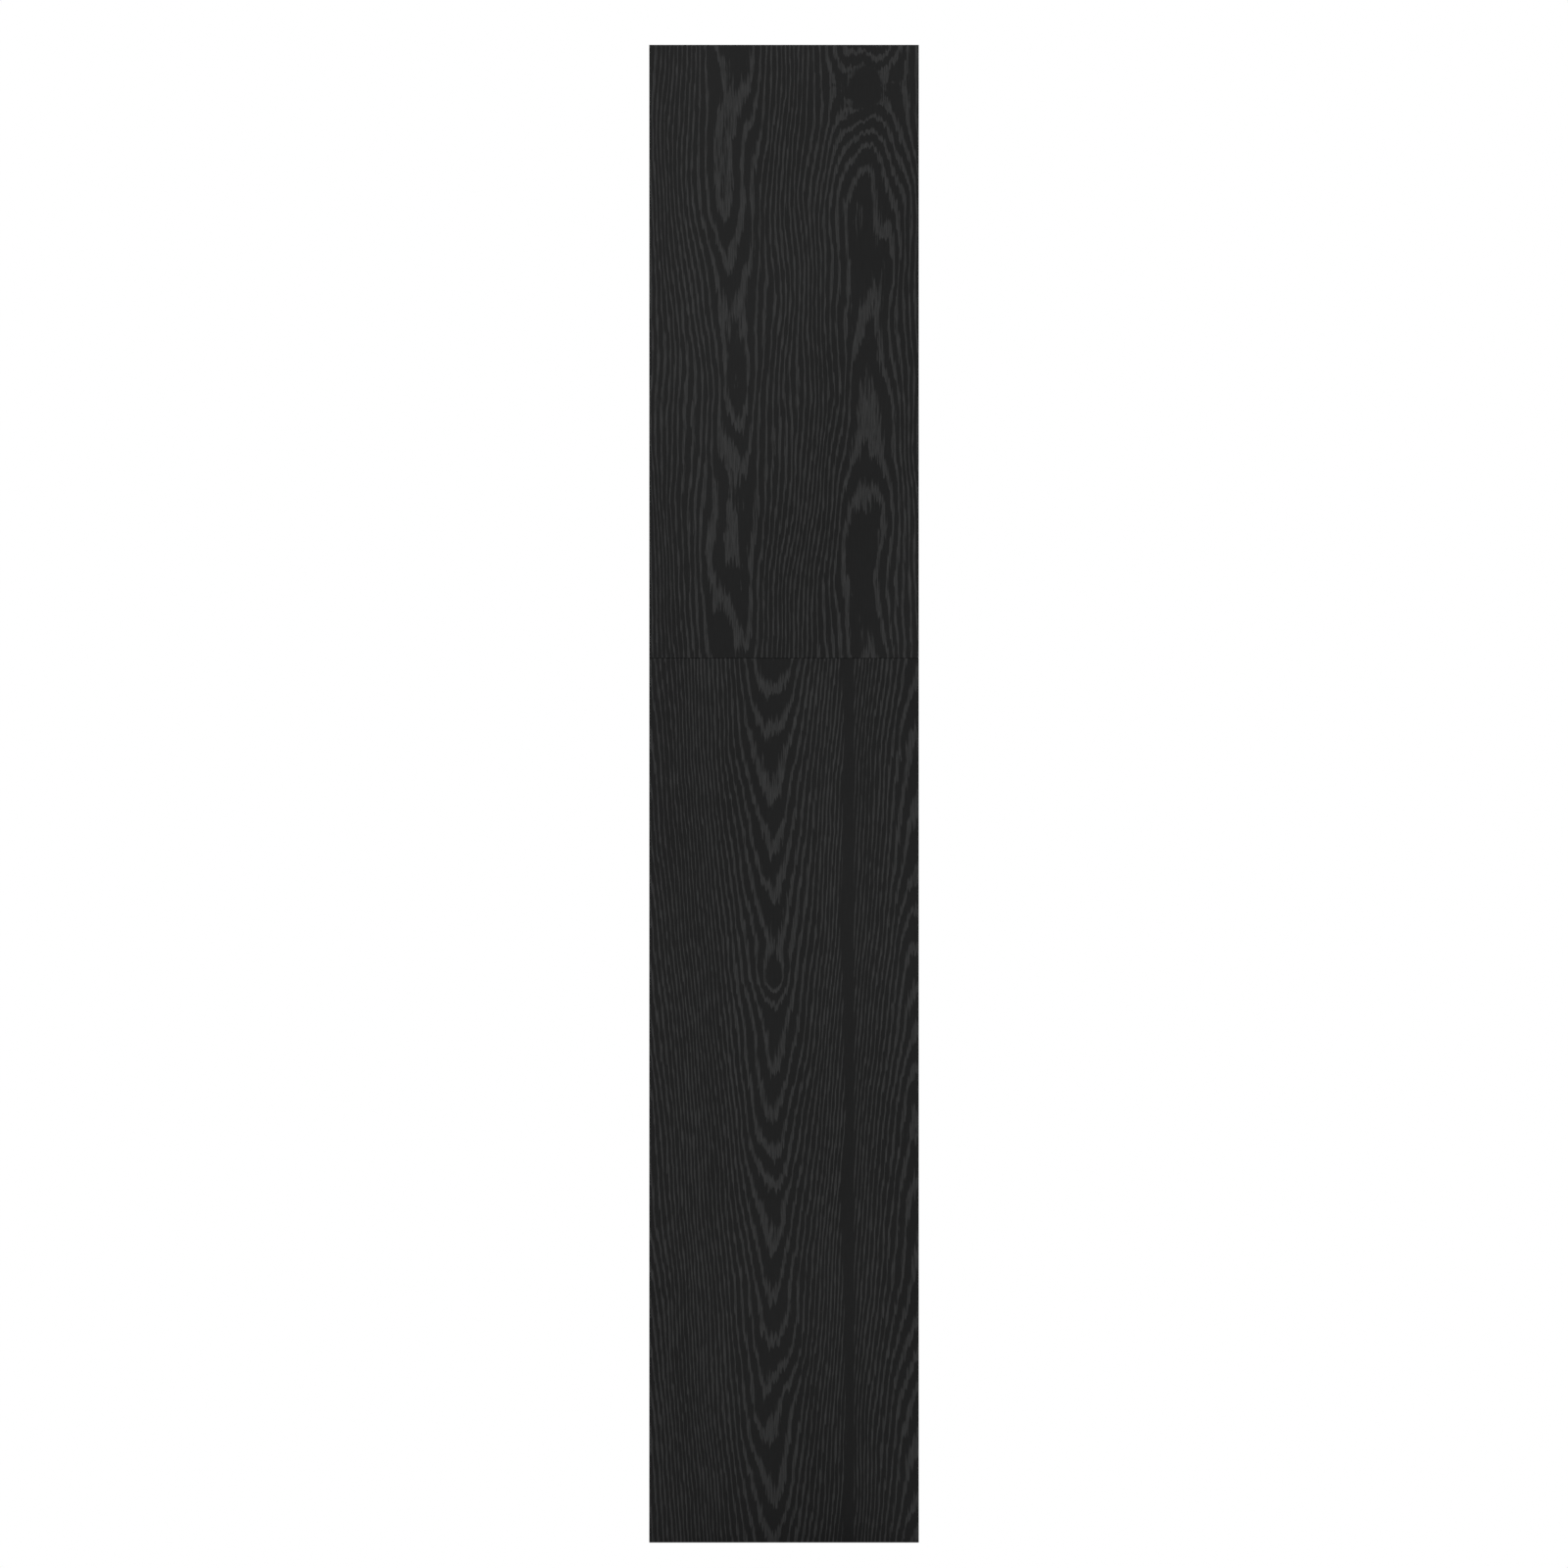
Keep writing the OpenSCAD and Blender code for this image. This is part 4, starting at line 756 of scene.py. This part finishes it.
train_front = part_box("front_plate")[1].y
train_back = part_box("back_plate")[0].y
rear_plate_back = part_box("back_plate")[1].y
pillar_low, pillar_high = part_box("plate_pillars")
pillar_r = 0.005
pillar_x = pillar_high.x - pillar_r
pillar_z = (pillar_low.z + pillar_r, pillar_high.z - pillar_r)
gap = train_back - train_front
nut_out = pillar_high.y - rear_plate_back
foot_half = [(0, 0), (pillar_r, 0), (pillar_r, 0.003), (0.0040, 0.0038), (0.0040, 0.0048), (0.0048, 0.0056),
             (0.0048, 0.0066), (0.0034, 0.0078), (0.0030, gap * 0.30), (0.0036, gap * 0.44),
             (0.0048, gap * 0.47)]
head_half = [(radius, gap - height) for radius, height in reversed(foot_half)]
turn_piece((-pillar_x, train_front, pillar_z[0]), "Y",
           foot_half + [(pillar_r, gap * 0.50)] + head_half, steps=32)
spread = (2 * pillar_x, pillar_z[1] - pillar_z[0])
pillar_moves = ((spread[0], 0, 0), (0, 0, spread[1]), (spread[0], 0, spread[1]))
copy_piece(pillar_moves)
finish_piece("turned_pillars", "case", plain_brass, ("plate_pillars",))

# the blued screws that hold the rear plate, with slotted heads
blue_steel = metal("blued_steel", (0.020, 0.045, 0.20), 0.24, fineness=1800.0, seed=14.0,
                   tarnish=(0.7, 0.75, 0.85))
slot_half = 0.0005
slot_deep = 0.0012
start_piece()
bpy.ops.mesh.primitive_cylinder_add(
    vertices=32, radius=0.0040, depth=nut_out,
    location=(-pillar_x, rear_plate_back + nut_out / 2, pillar_z[0]), rotation=(math.radians(-90), 0, 0))
bpy.ops.object.transform_apply(location=False, rotation=True, scale=False)
bpy.ops.object.mode_set(mode="EDIT")
for slot_side in (-slot_half, slot_half):
    bpy.ops.mesh.select_all(action="SELECT")
    bpy.ops.mesh.bisect(plane_co=(-pillar_x, 0, pillar_z[0] + slot_side), plane_no=(0, 0, 1))


def select_faces(test):
    """Selects the faces of the mesh in hand whose middle and normal pass the test."""
    bpy.ops.mesh.select_mode(type="FACE")
    bpy.ops.mesh.select_all(action="DESELECT")
    bpy.ops.object.mode_set(mode="OBJECT")
    piece = bpy.context.object
    for face in piece.data.polygons:
        face.select = test(face.center + piece.location, face.normal)
    bpy.ops.object.mode_set(mode="EDIT")


select_faces(lambda at, normal: normal.y > 0.9 and abs(at.z - pillar_z[0]) < slot_half)
bpy.ops.mesh.extrude_region_move(TRANSFORM_OT_translate={"value": (0, -slot_deep, 0)})
bpy.ops.mesh.select_all(action="SELECT")
copy_piece(pillar_moves)
finish_piece("pillar_screws", "case", blue_steel)


# ---------- Wheels ----------
# The wheels are cut from brass sheet and crossed out, each driven by a small steel pinion on
# its arbor. Their faces keep the fine rings of the lathe.
just_past = 0.0001


def wheel_metals(name, centre, wheel_front, wheel_back, seed):
    """Brass between two planes along Y, and bright steel before and behind them."""
    material = metal(name, brass_colour, 0.24, axis="Y", centre=centre, seed=seed)
    tree = material.node_tree
    shader = tree.nodes["Principled BSDF"]
    brass_shade = shader.inputs["Base Color"].links[0].from_socket
    y = object_point(tree)[1]
    past_front = math_node(tree, "GREATER_THAN", y, wheel_front - just_past)
    before_back = math_node(tree, "LESS_THAN", y, wheel_back + just_past)
    in_wheel = math_node(tree, "MULTIPLY", past_front, before_back)
    shade = blend_colours(tree, in_wheel, (*steel_colour, 1.0), brass_shade)
    tree.links.new(shade, shader.inputs["Base Color"])
    return material


wheel_t = 0.002
centre_at, third_at, escape_at = (middle_of(name) for name in ("centre_wheel", "third_wheel", "escape_wheel"))
for name, at, front in (("centre_wheel", centre_at, train_front + 0.007),
                        ("third_wheel", third_at, train_front + 0.027),
                        ("escape_wheel", escape_at, train_back - 0.0165)):
    finish_node(name, wheel_metals("cut_" + name, at, front, front + wheel_t, at.z * 10))
for name in ("great_wheel", "hour_wheel", "minute_wheel", "cannon_pinion"):
    finish_node(name, metal("cut_" + name, brass_colour, 0.24, axis="Y", centre=middle_of(name), seed=15.0))
finish_node("anchor_crutch", stud_steel)
soften("anchor_crutch", 0.0002)

# the drum: a brass barrel with two flanges, a ratchet, and the square for the winding key
great_at = middle_of("great_wheel")
drum_front = train_front + 0.011
drum_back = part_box("great_wheel")[0].y
finish_node("winding_drum", wheel_metals("turned_drum", great_at, drum_front, drum_back, 17.0))

# steel cable lies on the drum in a single layer, each turn against the last
cable_r = 0.001
fall_at = middle_of("cable_fall")
lay_r = abs(fall_at.x)
cable_steel = metal("cable_steel", (0.42, 0.42, 0.43), 0.36, fineness=5200.0, seed=19.0, relief=0.8)
turns_laid = 6
lay_pitch = 0.00205
steps_a_turn = 40


def wire_piece(points, radius, sides=10):
    """A round wire bent through the points, as a closed mesh."""
    start_piece()
    curve = bpy.data.curves.new("wire", "CURVE")
    curve.dimensions = "3D"
    line = curve.splines.new("POLY")
    line.points.add(len(points) - 1)
    for point, place in zip(line.points, points):
        point.co = (*place, 1.0)
    curve.bevel_depth = radius
    curve.bevel_resolution = (sides - 4) // 2
    curve.use_fill_caps = True
    piece = bpy.data.objects.new("wire", curve)
    scene.collection.objects.link(piece)
    piece.select_set(True)
    bpy.context.view_layer.objects.active = piece
    bpy.ops.object.convert(target="MESH")
    bpy.ops.object.mode_set(mode="EDIT")
    close_mesh()


def coil_points(centre, start_r, end_r, start, sweep, steps, advance=0.0):
    """Points along an arc, a spiral or a coil about a line through centre, along Y."""
    points = []
    for step in range(steps + 1):
        share = step / steps
        angle = start + sweep * share
        radius = start_r + (end_r - start_r) * share
        points.append((centre[0] + radius * math.cos(angle), centre[1] + advance * share,
                       centre[2] + radius * math.sin(angle)))
    return points


lay = coil_points((great_at.x, fall_at.y, great_at.z), lay_r, lay_r, math.pi, -math.tau * turns_laid,
                  steps_a_turn * turns_laid, -lay_pitch * turns_laid)
wire_piece(lay, cable_r)
finish_piece("drum_cable", "drum", cable_steel, smooth=60)


# ---------- Dial ----------
# The dial is a square sheet of steel fired with white enamel. A brass chapter ring carries
# black bars for the hours and a minute track, and a small ring above shows the seconds.
enamel = coated("white_enamel", (0.83, 0.82, 0.78), 0.16, speckle=260.0, change=0.05, strength=0.08)
black_paint = coated("dial_black_paint", (0.010, 0.010, 0.011), 0.34, speckle=1800.0, strength=0.2)
ring_low, ring_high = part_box("chapter_ring")
dial_at = middle_of("chapter_ring")
dial_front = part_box("dial_plate")[0].y
ring_front = ring_low.y
ring_r = (ring_high.x - ring_low.x) / 2
ring_brass = metal("chapter_ring_brass", (0.60, 0.43, 0.19), 0.34, axis="Y", centre=dial_at,
                   fineness=1800.0, seed=21.0, tarnish=(0.94, 0.92, 0.88))
finish_node("dial_plate", enamel)
finish_node("chapter_ring", ring_brass)
finish_node("hour_markers", black_paint)
soften("dial_plate", 0.0004)
soften("hour_markers", 0.0002)


def dial_point(radius, degrees, centre, y):
    """A point on the dial, at an angle measured clockwise from twelve."""
    angle = math.radians(degrees)
    return Vector((centre.x + radius * math.sin(angle), y, centre.z + radius * math.cos(angle)))


numeral_size = 0.031
numeral_r = 0.094
numeral_t = 0.00025
numerals = []
for hour in range(1, 13):
    start_piece()
    at = dial_point(numeral_r, hour * 30, dial_at, dial_front - numeral_t)
    bpy.ops.object.text_add(location=at, rotation=(math.radians(90), 0, 0))
    figure = bpy.context.object
    figure.data.body = str(hour)
    figure.data.size = numeral_size
    figure.data.extrude = numeral_t
    figure.data.align_x = "CENTER"
    figure.data.align_y = "CENTER"
    figure.data.resolution_u = 6
    bpy.ops.object.convert(target="MESH")
    numerals.append(bpy.context.object)
join_pieces(numerals)
bpy.ops.object.mode_set(mode="EDIT")
close_mesh()
finish_piece("hour_numerals", "case", black_paint)


long_widening = 2.2


def tick_piece(centre, radius, length, width, depth, front, count, long_every):
    """A ring of raised strokes pointing at the centre; some are wider."""
    sizes = []
    for wide, is_long in ((width * long_widening, True), (width, False)):
        turns = [number * 360 / count for number in range(count) if (number % long_every == 0) == is_long]
        places = [dial_point(radius, degrees, centre, front - depth / 2) for degrees in turns]
        bar_piece(places[0], (wide, depth, length), depth * 0.3, steps=1)
        bpy.ops.object.mode_set(mode="OBJECT")
        bpy.context.object.rotation_euler = (0, math.radians(turns[0]), 0)
        copy_piece([place - places[0] for place in places[1:]],
                   [(0, math.radians(degrees), 0) for degrees in turns[1:]])
        sizes.append(bpy.context.object)
    join_pieces(sizes)


tick_piece(dial_at, ring_r - 0.0034, 0.0050, 0.0012, 0.0003, ring_front, 60, 5)
finish_piece("minute_track", "case", black_paint)
seconds_at = Vector((0, 0, escape_at.z))
seconds_r = 0.0215
tick_piece(seconds_at, seconds_r - 0.0016, 0.0020, 0.00035, 0.00025, dial_front, 60, 5)
finish_piece("seconds_track", "case", black_paint)

# a turned brass eyelet lines the winding hole
eyelet_r = 0.007
turn_piece((0, dial_front, great_at.z), "Y",
           [(eyelet_r, 0.0012), (eyelet_r, -0.0004), (eyelet_r + 0.0006, -0.0008),
            (eyelet_r + 0.0018, -0.0008), (eyelet_r + 0.0026, 0.0), (eyelet_r + 0.0001, 0.0001),
            (eyelet_r + 0.0001, 0.0012), (eyelet_r, 0.0012)], steps=48)
finish_piece("winding_eyelet", "case", plain_brass)


# ---------- Hands ----------
# The hands are sawn from steel, filed to a ridge along the middle and blued by heat. Each is
# pressed on its pipe by a small turned collet.
def hand_piece(name, node, body, centre, degrees, length, tail, width, hub_r, bore_r):
    """A hand with a leaf-shaped blade and a rounded tail, each ending at the rim of the collet."""
    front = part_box(node)[0].y
    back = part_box(node)[1].y
    thick = 0.0010 if length > 0.03 else 0.0006
    narrow = width * 0.34
    blade = [(narrow, hub_r * 0.6), (narrow, length * 0.40), (width * 0.55, length * 0.58),
             (width * 0.50, length * 0.64), (narrow * 0.8, length * 0.78), (width * 0.05, length * 0.995),
             (0, length)]
    rounded = [(-narrow, -hub_r * 0.6), (-narrow, -tail * 0.45), (-width * 0.5, -tail * 0.70),
               (-width * 0.45, -tail * 0.90), (0, -tail)]
    plates = []
    for half in (blade, rounded):
        outline = half + [(-x, z) for x, z in reversed(half[:-1])]
        start_piece()
        draw_line([Vector((x, 0, z)) for x, z in outline])
        bpy.ops.object.mode_set(mode="OBJECT")
        bpy.ops.object.transform_apply(location=True, rotation=False, scale=False)
        bpy.ops.object.mode_set(mode="EDIT")
        bpy.ops.mesh.select_all(action="SELECT")
        bpy.ops.mesh.edge_face_add()
        bpy.ops.mesh.select_all(action="SELECT")
        bpy.ops.mesh.extrude_region_move(TRANSFORM_OT_translate={"value": (0, -thick * 0.5, 0)})
        bpy.ops.mesh.inset(thickness=narrow * 0.55, depth=thick * 0.45)
        close_mesh()
        bpy.ops.object.mode_set(mode="OBJECT")
        plate = bpy.context.object
        plate.rotation_euler = (0, math.radians(degrees), 0)
        plate.location = (centre.x, back, centre.z)
        plates.append(plate)
    turn_piece((centre.x, back, centre.z), "Y",
               [(bore_r, 0), (hub_r, 0), (hub_r, -thick), (hub_r * 0.8, -thick - 0.0002),
                (hub_r * 0.72, front - back), (bore_r, front - back), (bore_r, 0)], steps=40)
    bpy.ops.object.mode_set(mode="OBJECT")
    join_pieces([bpy.context.object, *plates])
    finish_piece(name, body, blue_steel, (node,), smooth=20)


dial_centre = Vector((0, 0, dial_at.z))
hand_piece("blued_minute_hand", "minute_hand", "centre_arbor", dial_centre, 60, 0.122, 0.022, 0.005,
           0.0065, 0.00262)
hand_piece("blued_hour_hand", "hour_hand", "hour_pipe", dial_centre, 305, 0.082, 0.018, 0.0068, 0.008,
           0.00402)
hand_piece("blued_seconds_hand", "seconds_hand", "escape_arbor", seconds_at, 210, 0.019, 0.007, 0.0013,
           0.0026, 0.00152)


# ---------- Pendulum ----------
# A straight steel rod, lacquered black, hangs from a thin steel spring. The bob is a heavy
# lens of turned brass, and a knurled brass nut below it sets the rate.
rod_lacquer = coated("rod_lacquer", (0.016, 0.014, 0.013), 0.36, speckle=260.0, change=0.35)
rod_low, rod_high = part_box("pendulum_rod")
rod_at = middle_of("pendulum_rod")
bob_low, bob_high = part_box("pendulum_bob")
bob_at = middle_of("pendulum_bob")
rod_r = 0.004
ferrule_r = rod_high.x
ferrule_z = rod_high.z - 0.028
spring_half = 0.00015
turn_piece((0, rod_at.y, 0), "Z",
           [(0, rod_low.z), (rod_r - 0.0008, rod_low.z), (rod_r, rod_low.z + 0.0008), (rod_r, ferrule_z),
            (0, ferrule_z)], steps=32)
finish_piece("lacquered_rod", "pendulum", rod_lacquer)
turn_piece((0, rod_at.y, ferrule_z), "Z",
           [(0, 0), (ferrule_r - 0.0006, 0), (ferrule_r, 0.0006), (ferrule_r, 0.0012),
            (ferrule_r - 0.0006, 0.0017), (ferrule_r - 0.0006, 0.0053), (ferrule_r, 0.0058),
            (ferrule_r, 0.0064), (ferrule_r - 0.0010, 0.0070), (0, 0.0070)], steps=40)
finish_piece("rod_ferrule", "pendulum", plain_brass)


grip_z = rod_high.z - 0.022
grip_h = 0.008
spring_foot = grip_z + 0.001
bar_piece((0, rod_at.y, grip_z + grip_h / 2), (0.005, 0.012, grip_h), 0.0004)
finish_piece("spring_grip", "pendulum", plain_brass)
bar_piece((0, rod_at.y, (spring_foot + rod_high.z) / 2), (2 * spring_half, 0.010, rod_high.z - spring_foot),
          0.00005)
spring_steel = metal("spring_steel", (0.35, 0.38, 0.45), 0.24, fineness=2600.0, seed=24.0)
finish_piece("suspension_spring", "pendulum", spring_steel, ("pendulum_rod",))

# the lens is two shallow domes that meet at a rounded rim, with a fine turned bead on each
bob_r = (bob_high.x - bob_low.x) / 2
bob_half = (bob_high.y - bob_low.y) / 2
bob_brass = metal("polished_bob", (0.74, 0.54, 0.24), 0.17, axis="Y", centre=bob_at, fineness=900.0,
                  seed=26.0, tarnish=(0.95, 0.92, 0.87), relief=0.03)
dome_steps = 10
rim_half = 0.0022
dome_r = bob_r - 0.0065
sag = bob_half - rim_half - 0.0006
ball_r = (dome_r * dome_r + sag * sag) / (2 * sag)
dome = []
for step in range(dome_steps + 1):
    reach = dome_r * step / dome_steps
    dome.append((reach, bob_half - (ball_r - math.sqrt(ball_r * ball_r - reach * reach))))
rim = [(dome_r + 0.0006, rim_half + 0.0002), (dome_r + 0.0012, rim_half + 0.0014),
       (dome_r + 0.0022, rim_half + 0.0018), (dome_r + 0.0032, rim_half + 0.0014),
       (dome_r + 0.0040, rim_half), (bob_r - 0.0012, rim_half - 0.0002), (bob_r - 0.0003, rim_half - 0.0010),
       (bob_r, 0.0)]
half = dome + rim
front_half = [(radius, -height) for radius, height in half]
back_half = [(radius, height) for radius, height in reversed(half[:-1])]
turn_piece(bob_at, "Y", front_half + back_half, steps=96)
finish_piece("lens_bob", "bob", bob_brass, ("pendulum_bob",), smooth=28)

# the rating nut: a disc with a coined edge and a plain neck
nut_low, nut_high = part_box("rating_nut")
nut_r = (nut_high.x - nut_low.x) / 2
nut_h = nut_high.z - nut_low.z - 0.0026
neck_r = 0.0065
knurls = 60
groove_share = 0.955
edge_share = 0.93
start_piece()
bpy.ops.mesh.primitive_circle_add(vertices=2 * knurls, radius=nut_r, fill_type="NGON",
                                  location=(0, rod_at.y, nut_low.z))
bpy.ops.object.mode_set(mode="EDIT")
bpy.ops.mesh.select_mode(type="VERT")
bpy.ops.mesh.select_all(action="DESELECT")
bpy.ops.object.mode_set(mode="OBJECT")
for corner in bpy.context.object.data.vertices:
    corner.select = corner.index % 2 == 0
bpy.ops.object.mode_set(mode="EDIT")
nut_foot = (0, rod_at.y, nut_low.z)
bpy.ops.transform.resize(value=(groove_share, groove_share, 1), center_override=nut_foot)
bpy.ops.mesh.select_all(action="SELECT")
bpy.ops.transform.resize(value=(edge_share, edge_share, 1), center_override=nut_foot)
for grow, climb in ((1 / edge_share, 0.0008), (1.0, nut_h - 0.0016), (edge_share, 0.0008),
                    (neck_r / nut_r / edge_share, 0.0), (1.0, 0.0022), (0.92, 0.0004)):
    bpy.ops.mesh.extrude_region_move(TRANSFORM_OT_translate={"value": (0, 0, climb)})
    bpy.ops.transform.resize(value=(grow, grow, 1), center_override=nut_foot)
close_mesh()
nut_brass = metal("nut_brass", brass_colour, 0.26, axis="Z", centre=(0, rod_at.y, 0), seed=28.0)
finish_piece("knurled_nut", "rating_nut", nut_brass, ("rating_nut",), smooth=20)


# ---------- Weight and pulley ----------
# The weight is a brass shell filled with lead, closed by a turned cap at each end. It hangs
# from a grooved brass pulley in a bent steel stirrup.
weight_low, weight_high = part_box("clock_weight")
weight_at = middle_of("clock_weight")
weight_r = (weight_high.x - weight_low.x) / 2
cap_t = 0.004
hook_r = 0.004
pulley_low, pulley_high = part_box("cable_pulley")
pulley_at = middle_of("cable_pulley")
shell_top = pulley_at.z - 0.045
shell_foot = weight_low.z + cap_t
weight_brass = metal("weight_brass", (0.74, 0.54, 0.24), 0.33, axis="Z", centre=(0, weight_at.y, 0),
                     fineness=900.0, seed=30.0, tarnish=(0.95, 0.92, 0.87), relief=0.05)
bead = 0.0012


def bead_at(height):
    """A small rounded bead round the shell, as profile points from below to above."""
    return [(weight_r - bead, height - 2.2 * bead), (weight_r - bead * 0.3, height - 1.6 * bead),
            (weight_r, height - bead * 0.7), (weight_r, height + bead * 0.7),
            (weight_r - bead * 0.3, height + 1.6 * bead), (weight_r - bead, height + 2.2 * bead)]


cap = [(0, weight_low.z), (weight_r - 0.012, weight_low.z), (weight_r - 0.0055, weight_low.z + 0.0008),
       (weight_r - 0.0042, weight_low.z + 0.0022), (weight_r - 0.0042, shell_foot),
       (weight_r - 0.0012, shell_foot + 0.0002), (weight_r - 0.0002, shell_foot + 0.0012),
       (weight_r - 0.0002, shell_foot + 0.0050), (weight_r - 0.0012, shell_foot + 0.0060)]
head = [(weight_r - 0.0012, shell_top - 0.0060), (weight_r - 0.0002, shell_top - 0.0050),
        (weight_r - 0.0002, shell_top - 0.0012), (weight_r - 0.0012, shell_top - 0.0002),
        (weight_r - 0.0042, shell_top), (weight_r - 0.0042, shell_top + 0.0022),
        (weight_r - 0.0065, shell_top + 0.0036), (weight_r - 0.016, shell_top + 0.0040),
        (hook_r + 0.003, shell_top + 0.0040), (hook_r, shell_top + 0.0046), (hook_r, weight_high.z - 0.0004),
        (0, weight_high.z - 0.0004)]
turn_piece((0, weight_at.y, 0), "Z",
           cap + bead_at(shell_foot + 0.014) + bead_at(shell_top - 0.014) + head, steps=80)
finish_piece("weight_shell", "weight", weight_brass, ("clock_weight",), smooth=28)

pulley_brass = metal("pulley_brass", brass_colour, 0.24, axis="Y", centre=pulley_at, seed=32.0)
pulley_r = (pulley_high.x - pulley_low.x) / 2
pulley_half = (pulley_high.y - pulley_low.y) / 2
groove_r = lay_r - cable_r - 0.0004
groove_half = 0.0024
groove_steps = 8
groove = []
for step in range(groove_steps + 1):
    angle = math.pi * step / groove_steps
    groove.append((groove_r + groove_half * (1 - math.sin(angle)), -groove_half * math.cos(angle)))
hole_r = 0.00206
front_cheek = [(hole_r, -pulley_half), (0.0060, -pulley_half), (0.0066, -pulley_half + 0.0010),
               (0.0150, -pulley_half + 0.0010), (0.0158, -pulley_half), (pulley_r - 0.0004, -pulley_half),
               (pulley_r, -pulley_half + 0.0004), (pulley_r - 0.0002, -pulley_half + 0.0010)]
back_cheek = [(radius, -height) for radius, height in reversed(front_cheek)]
turn_piece(pulley_at, "Y", front_cheek + groove + back_cheek + front_cheek[:1], steps=64)
finish_piece("grooved_pulley", "pulley", pulley_brass, ("cable_pulley",))
finish_node("pulley_stirrup", stud_steel)
soften("pulley_stirrup", 0.0005)


# ---------- Cable ----------
# One thin steel cable comes down from the drum, turns under the pulley, and goes up again to
# a crimped ferrule under the seatboard.
bend_steps = 24
under_pulley = (0, pulley_at.y, pulley_at.z)
wire_piece(coil_points(under_pulley, lay_r, lay_r, math.pi, math.pi, bend_steps), cable_r)
finish_piece("cable_under_pulley", "weight", cable_steel, smooth=60)
cable_sides = 12
cable_steps = 48
for name, node in (("falling_cable", "cable_fall"), ("returning_cable", "cable_return")):
    low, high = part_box(node)
    at = middle_of(node)
    start_piece()
    bpy.ops.mesh.primitive_circle_add(vertices=cable_sides, radius=cable_r, fill_type="NGON",
                                      location=(at.x, at.y, low.z))
    bpy.ops.object.mode_set(mode="EDIT")
    bpy.ops.mesh.select_all(action="SELECT")
    step_up = (0, 0, (high.z - low.z) / cable_steps)
    for _ in range(cable_steps):
        bpy.ops.mesh.extrude_region_move(TRANSFORM_OT_translate={"value": step_up})
    close_mesh()
    piece = dress_piece(name, cable_steel, smooth=60)
    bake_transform(piece)
    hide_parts(node)
return_at = middle_of("cable_return")
return_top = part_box("cable_return")[1].z
turn_piece((return_at.x, return_at.y, return_top), "Z",
           [(0, -0.012), (0.0016, -0.012), (0.0022, -0.0112), (0.0022, -0.0030), (0.0040, -0.0022),
            (0.0046, -0.0010), (0.0046, 0.0003), (0, 0.0003)], steps=28)
finish_piece("cable_ferrule", "case", zinc)


# ---------- Gong and hammer ----------
# The strike sounds a flat spiral of blued steel wire, held at its inner end by an iron block
# screwed to the back. The hammer is a brass drum on a springy steel arm.
gong_low, gong_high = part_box("gong_coil")
block_low, block_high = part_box("gong_block")
gong_y = (gong_low.y + gong_high.y) / 2
wire_r = (gong_high.y - gong_low.y) / 2
gong_inner = 0.028
gong_reach = 0.062
gong_turns = 3
gong_steps = 48 * gong_turns
gong_at = Vector((block_low.x + 0.034, gong_y, (block_low.z + block_high.z) / 2))
spiral = coil_points(gong_at, gong_inner, gong_reach, math.pi, math.tau * gong_turns, gong_steps)
gong_steel = metal("gong_blue", (0.10, 0.13, 0.24), 0.24, fineness=1200.0, seed=36.0, tarnish=(1.4, 1.2, 0.9))
wire_piece(spiral, wire_r, sides=14)
finish_piece("gong_spiral", "case", gong_steel, ("gong_coil",), smooth=60)
hammer_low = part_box("strike_hammer")[0]
head_r = 0.0110
head_at = Vector((hammer_low.x + 0.007, gong_low.y, gong_at.z + 0.006))
hammer_metal = metal("hammer_steel", steel_colour, 0.26, fineness=2200.0, seed=38.0)
tree = hammer_metal.node_tree
shader = tree.nodes["Principled BSDF"]
place = tree.nodes.new("ShaderNodeTexCoord")
from_head = tree.nodes.new("ShaderNodeVectorMath")
from_head.operation = "DISTANCE"
from_head.inputs[1].default_value = head_at + Vector((0, 0.0015, 0))
tree.links.new(place.outputs["Object"], from_head.inputs[0])
past_head = ramp_node(tree, from_head.outputs["Value"], head_r, head_r + 0.0002)
steel_shade = shader.inputs["Base Color"].links[0].from_socket
shade = blend_colours(tree, past_head, (*brass_colour, 1.0), steel_shade)
tree.links.new(shade, shader.inputs["Base Color"])
finish_node("strike_hammer", hammer_metal)
soften("strike_hammer", 0.0003)
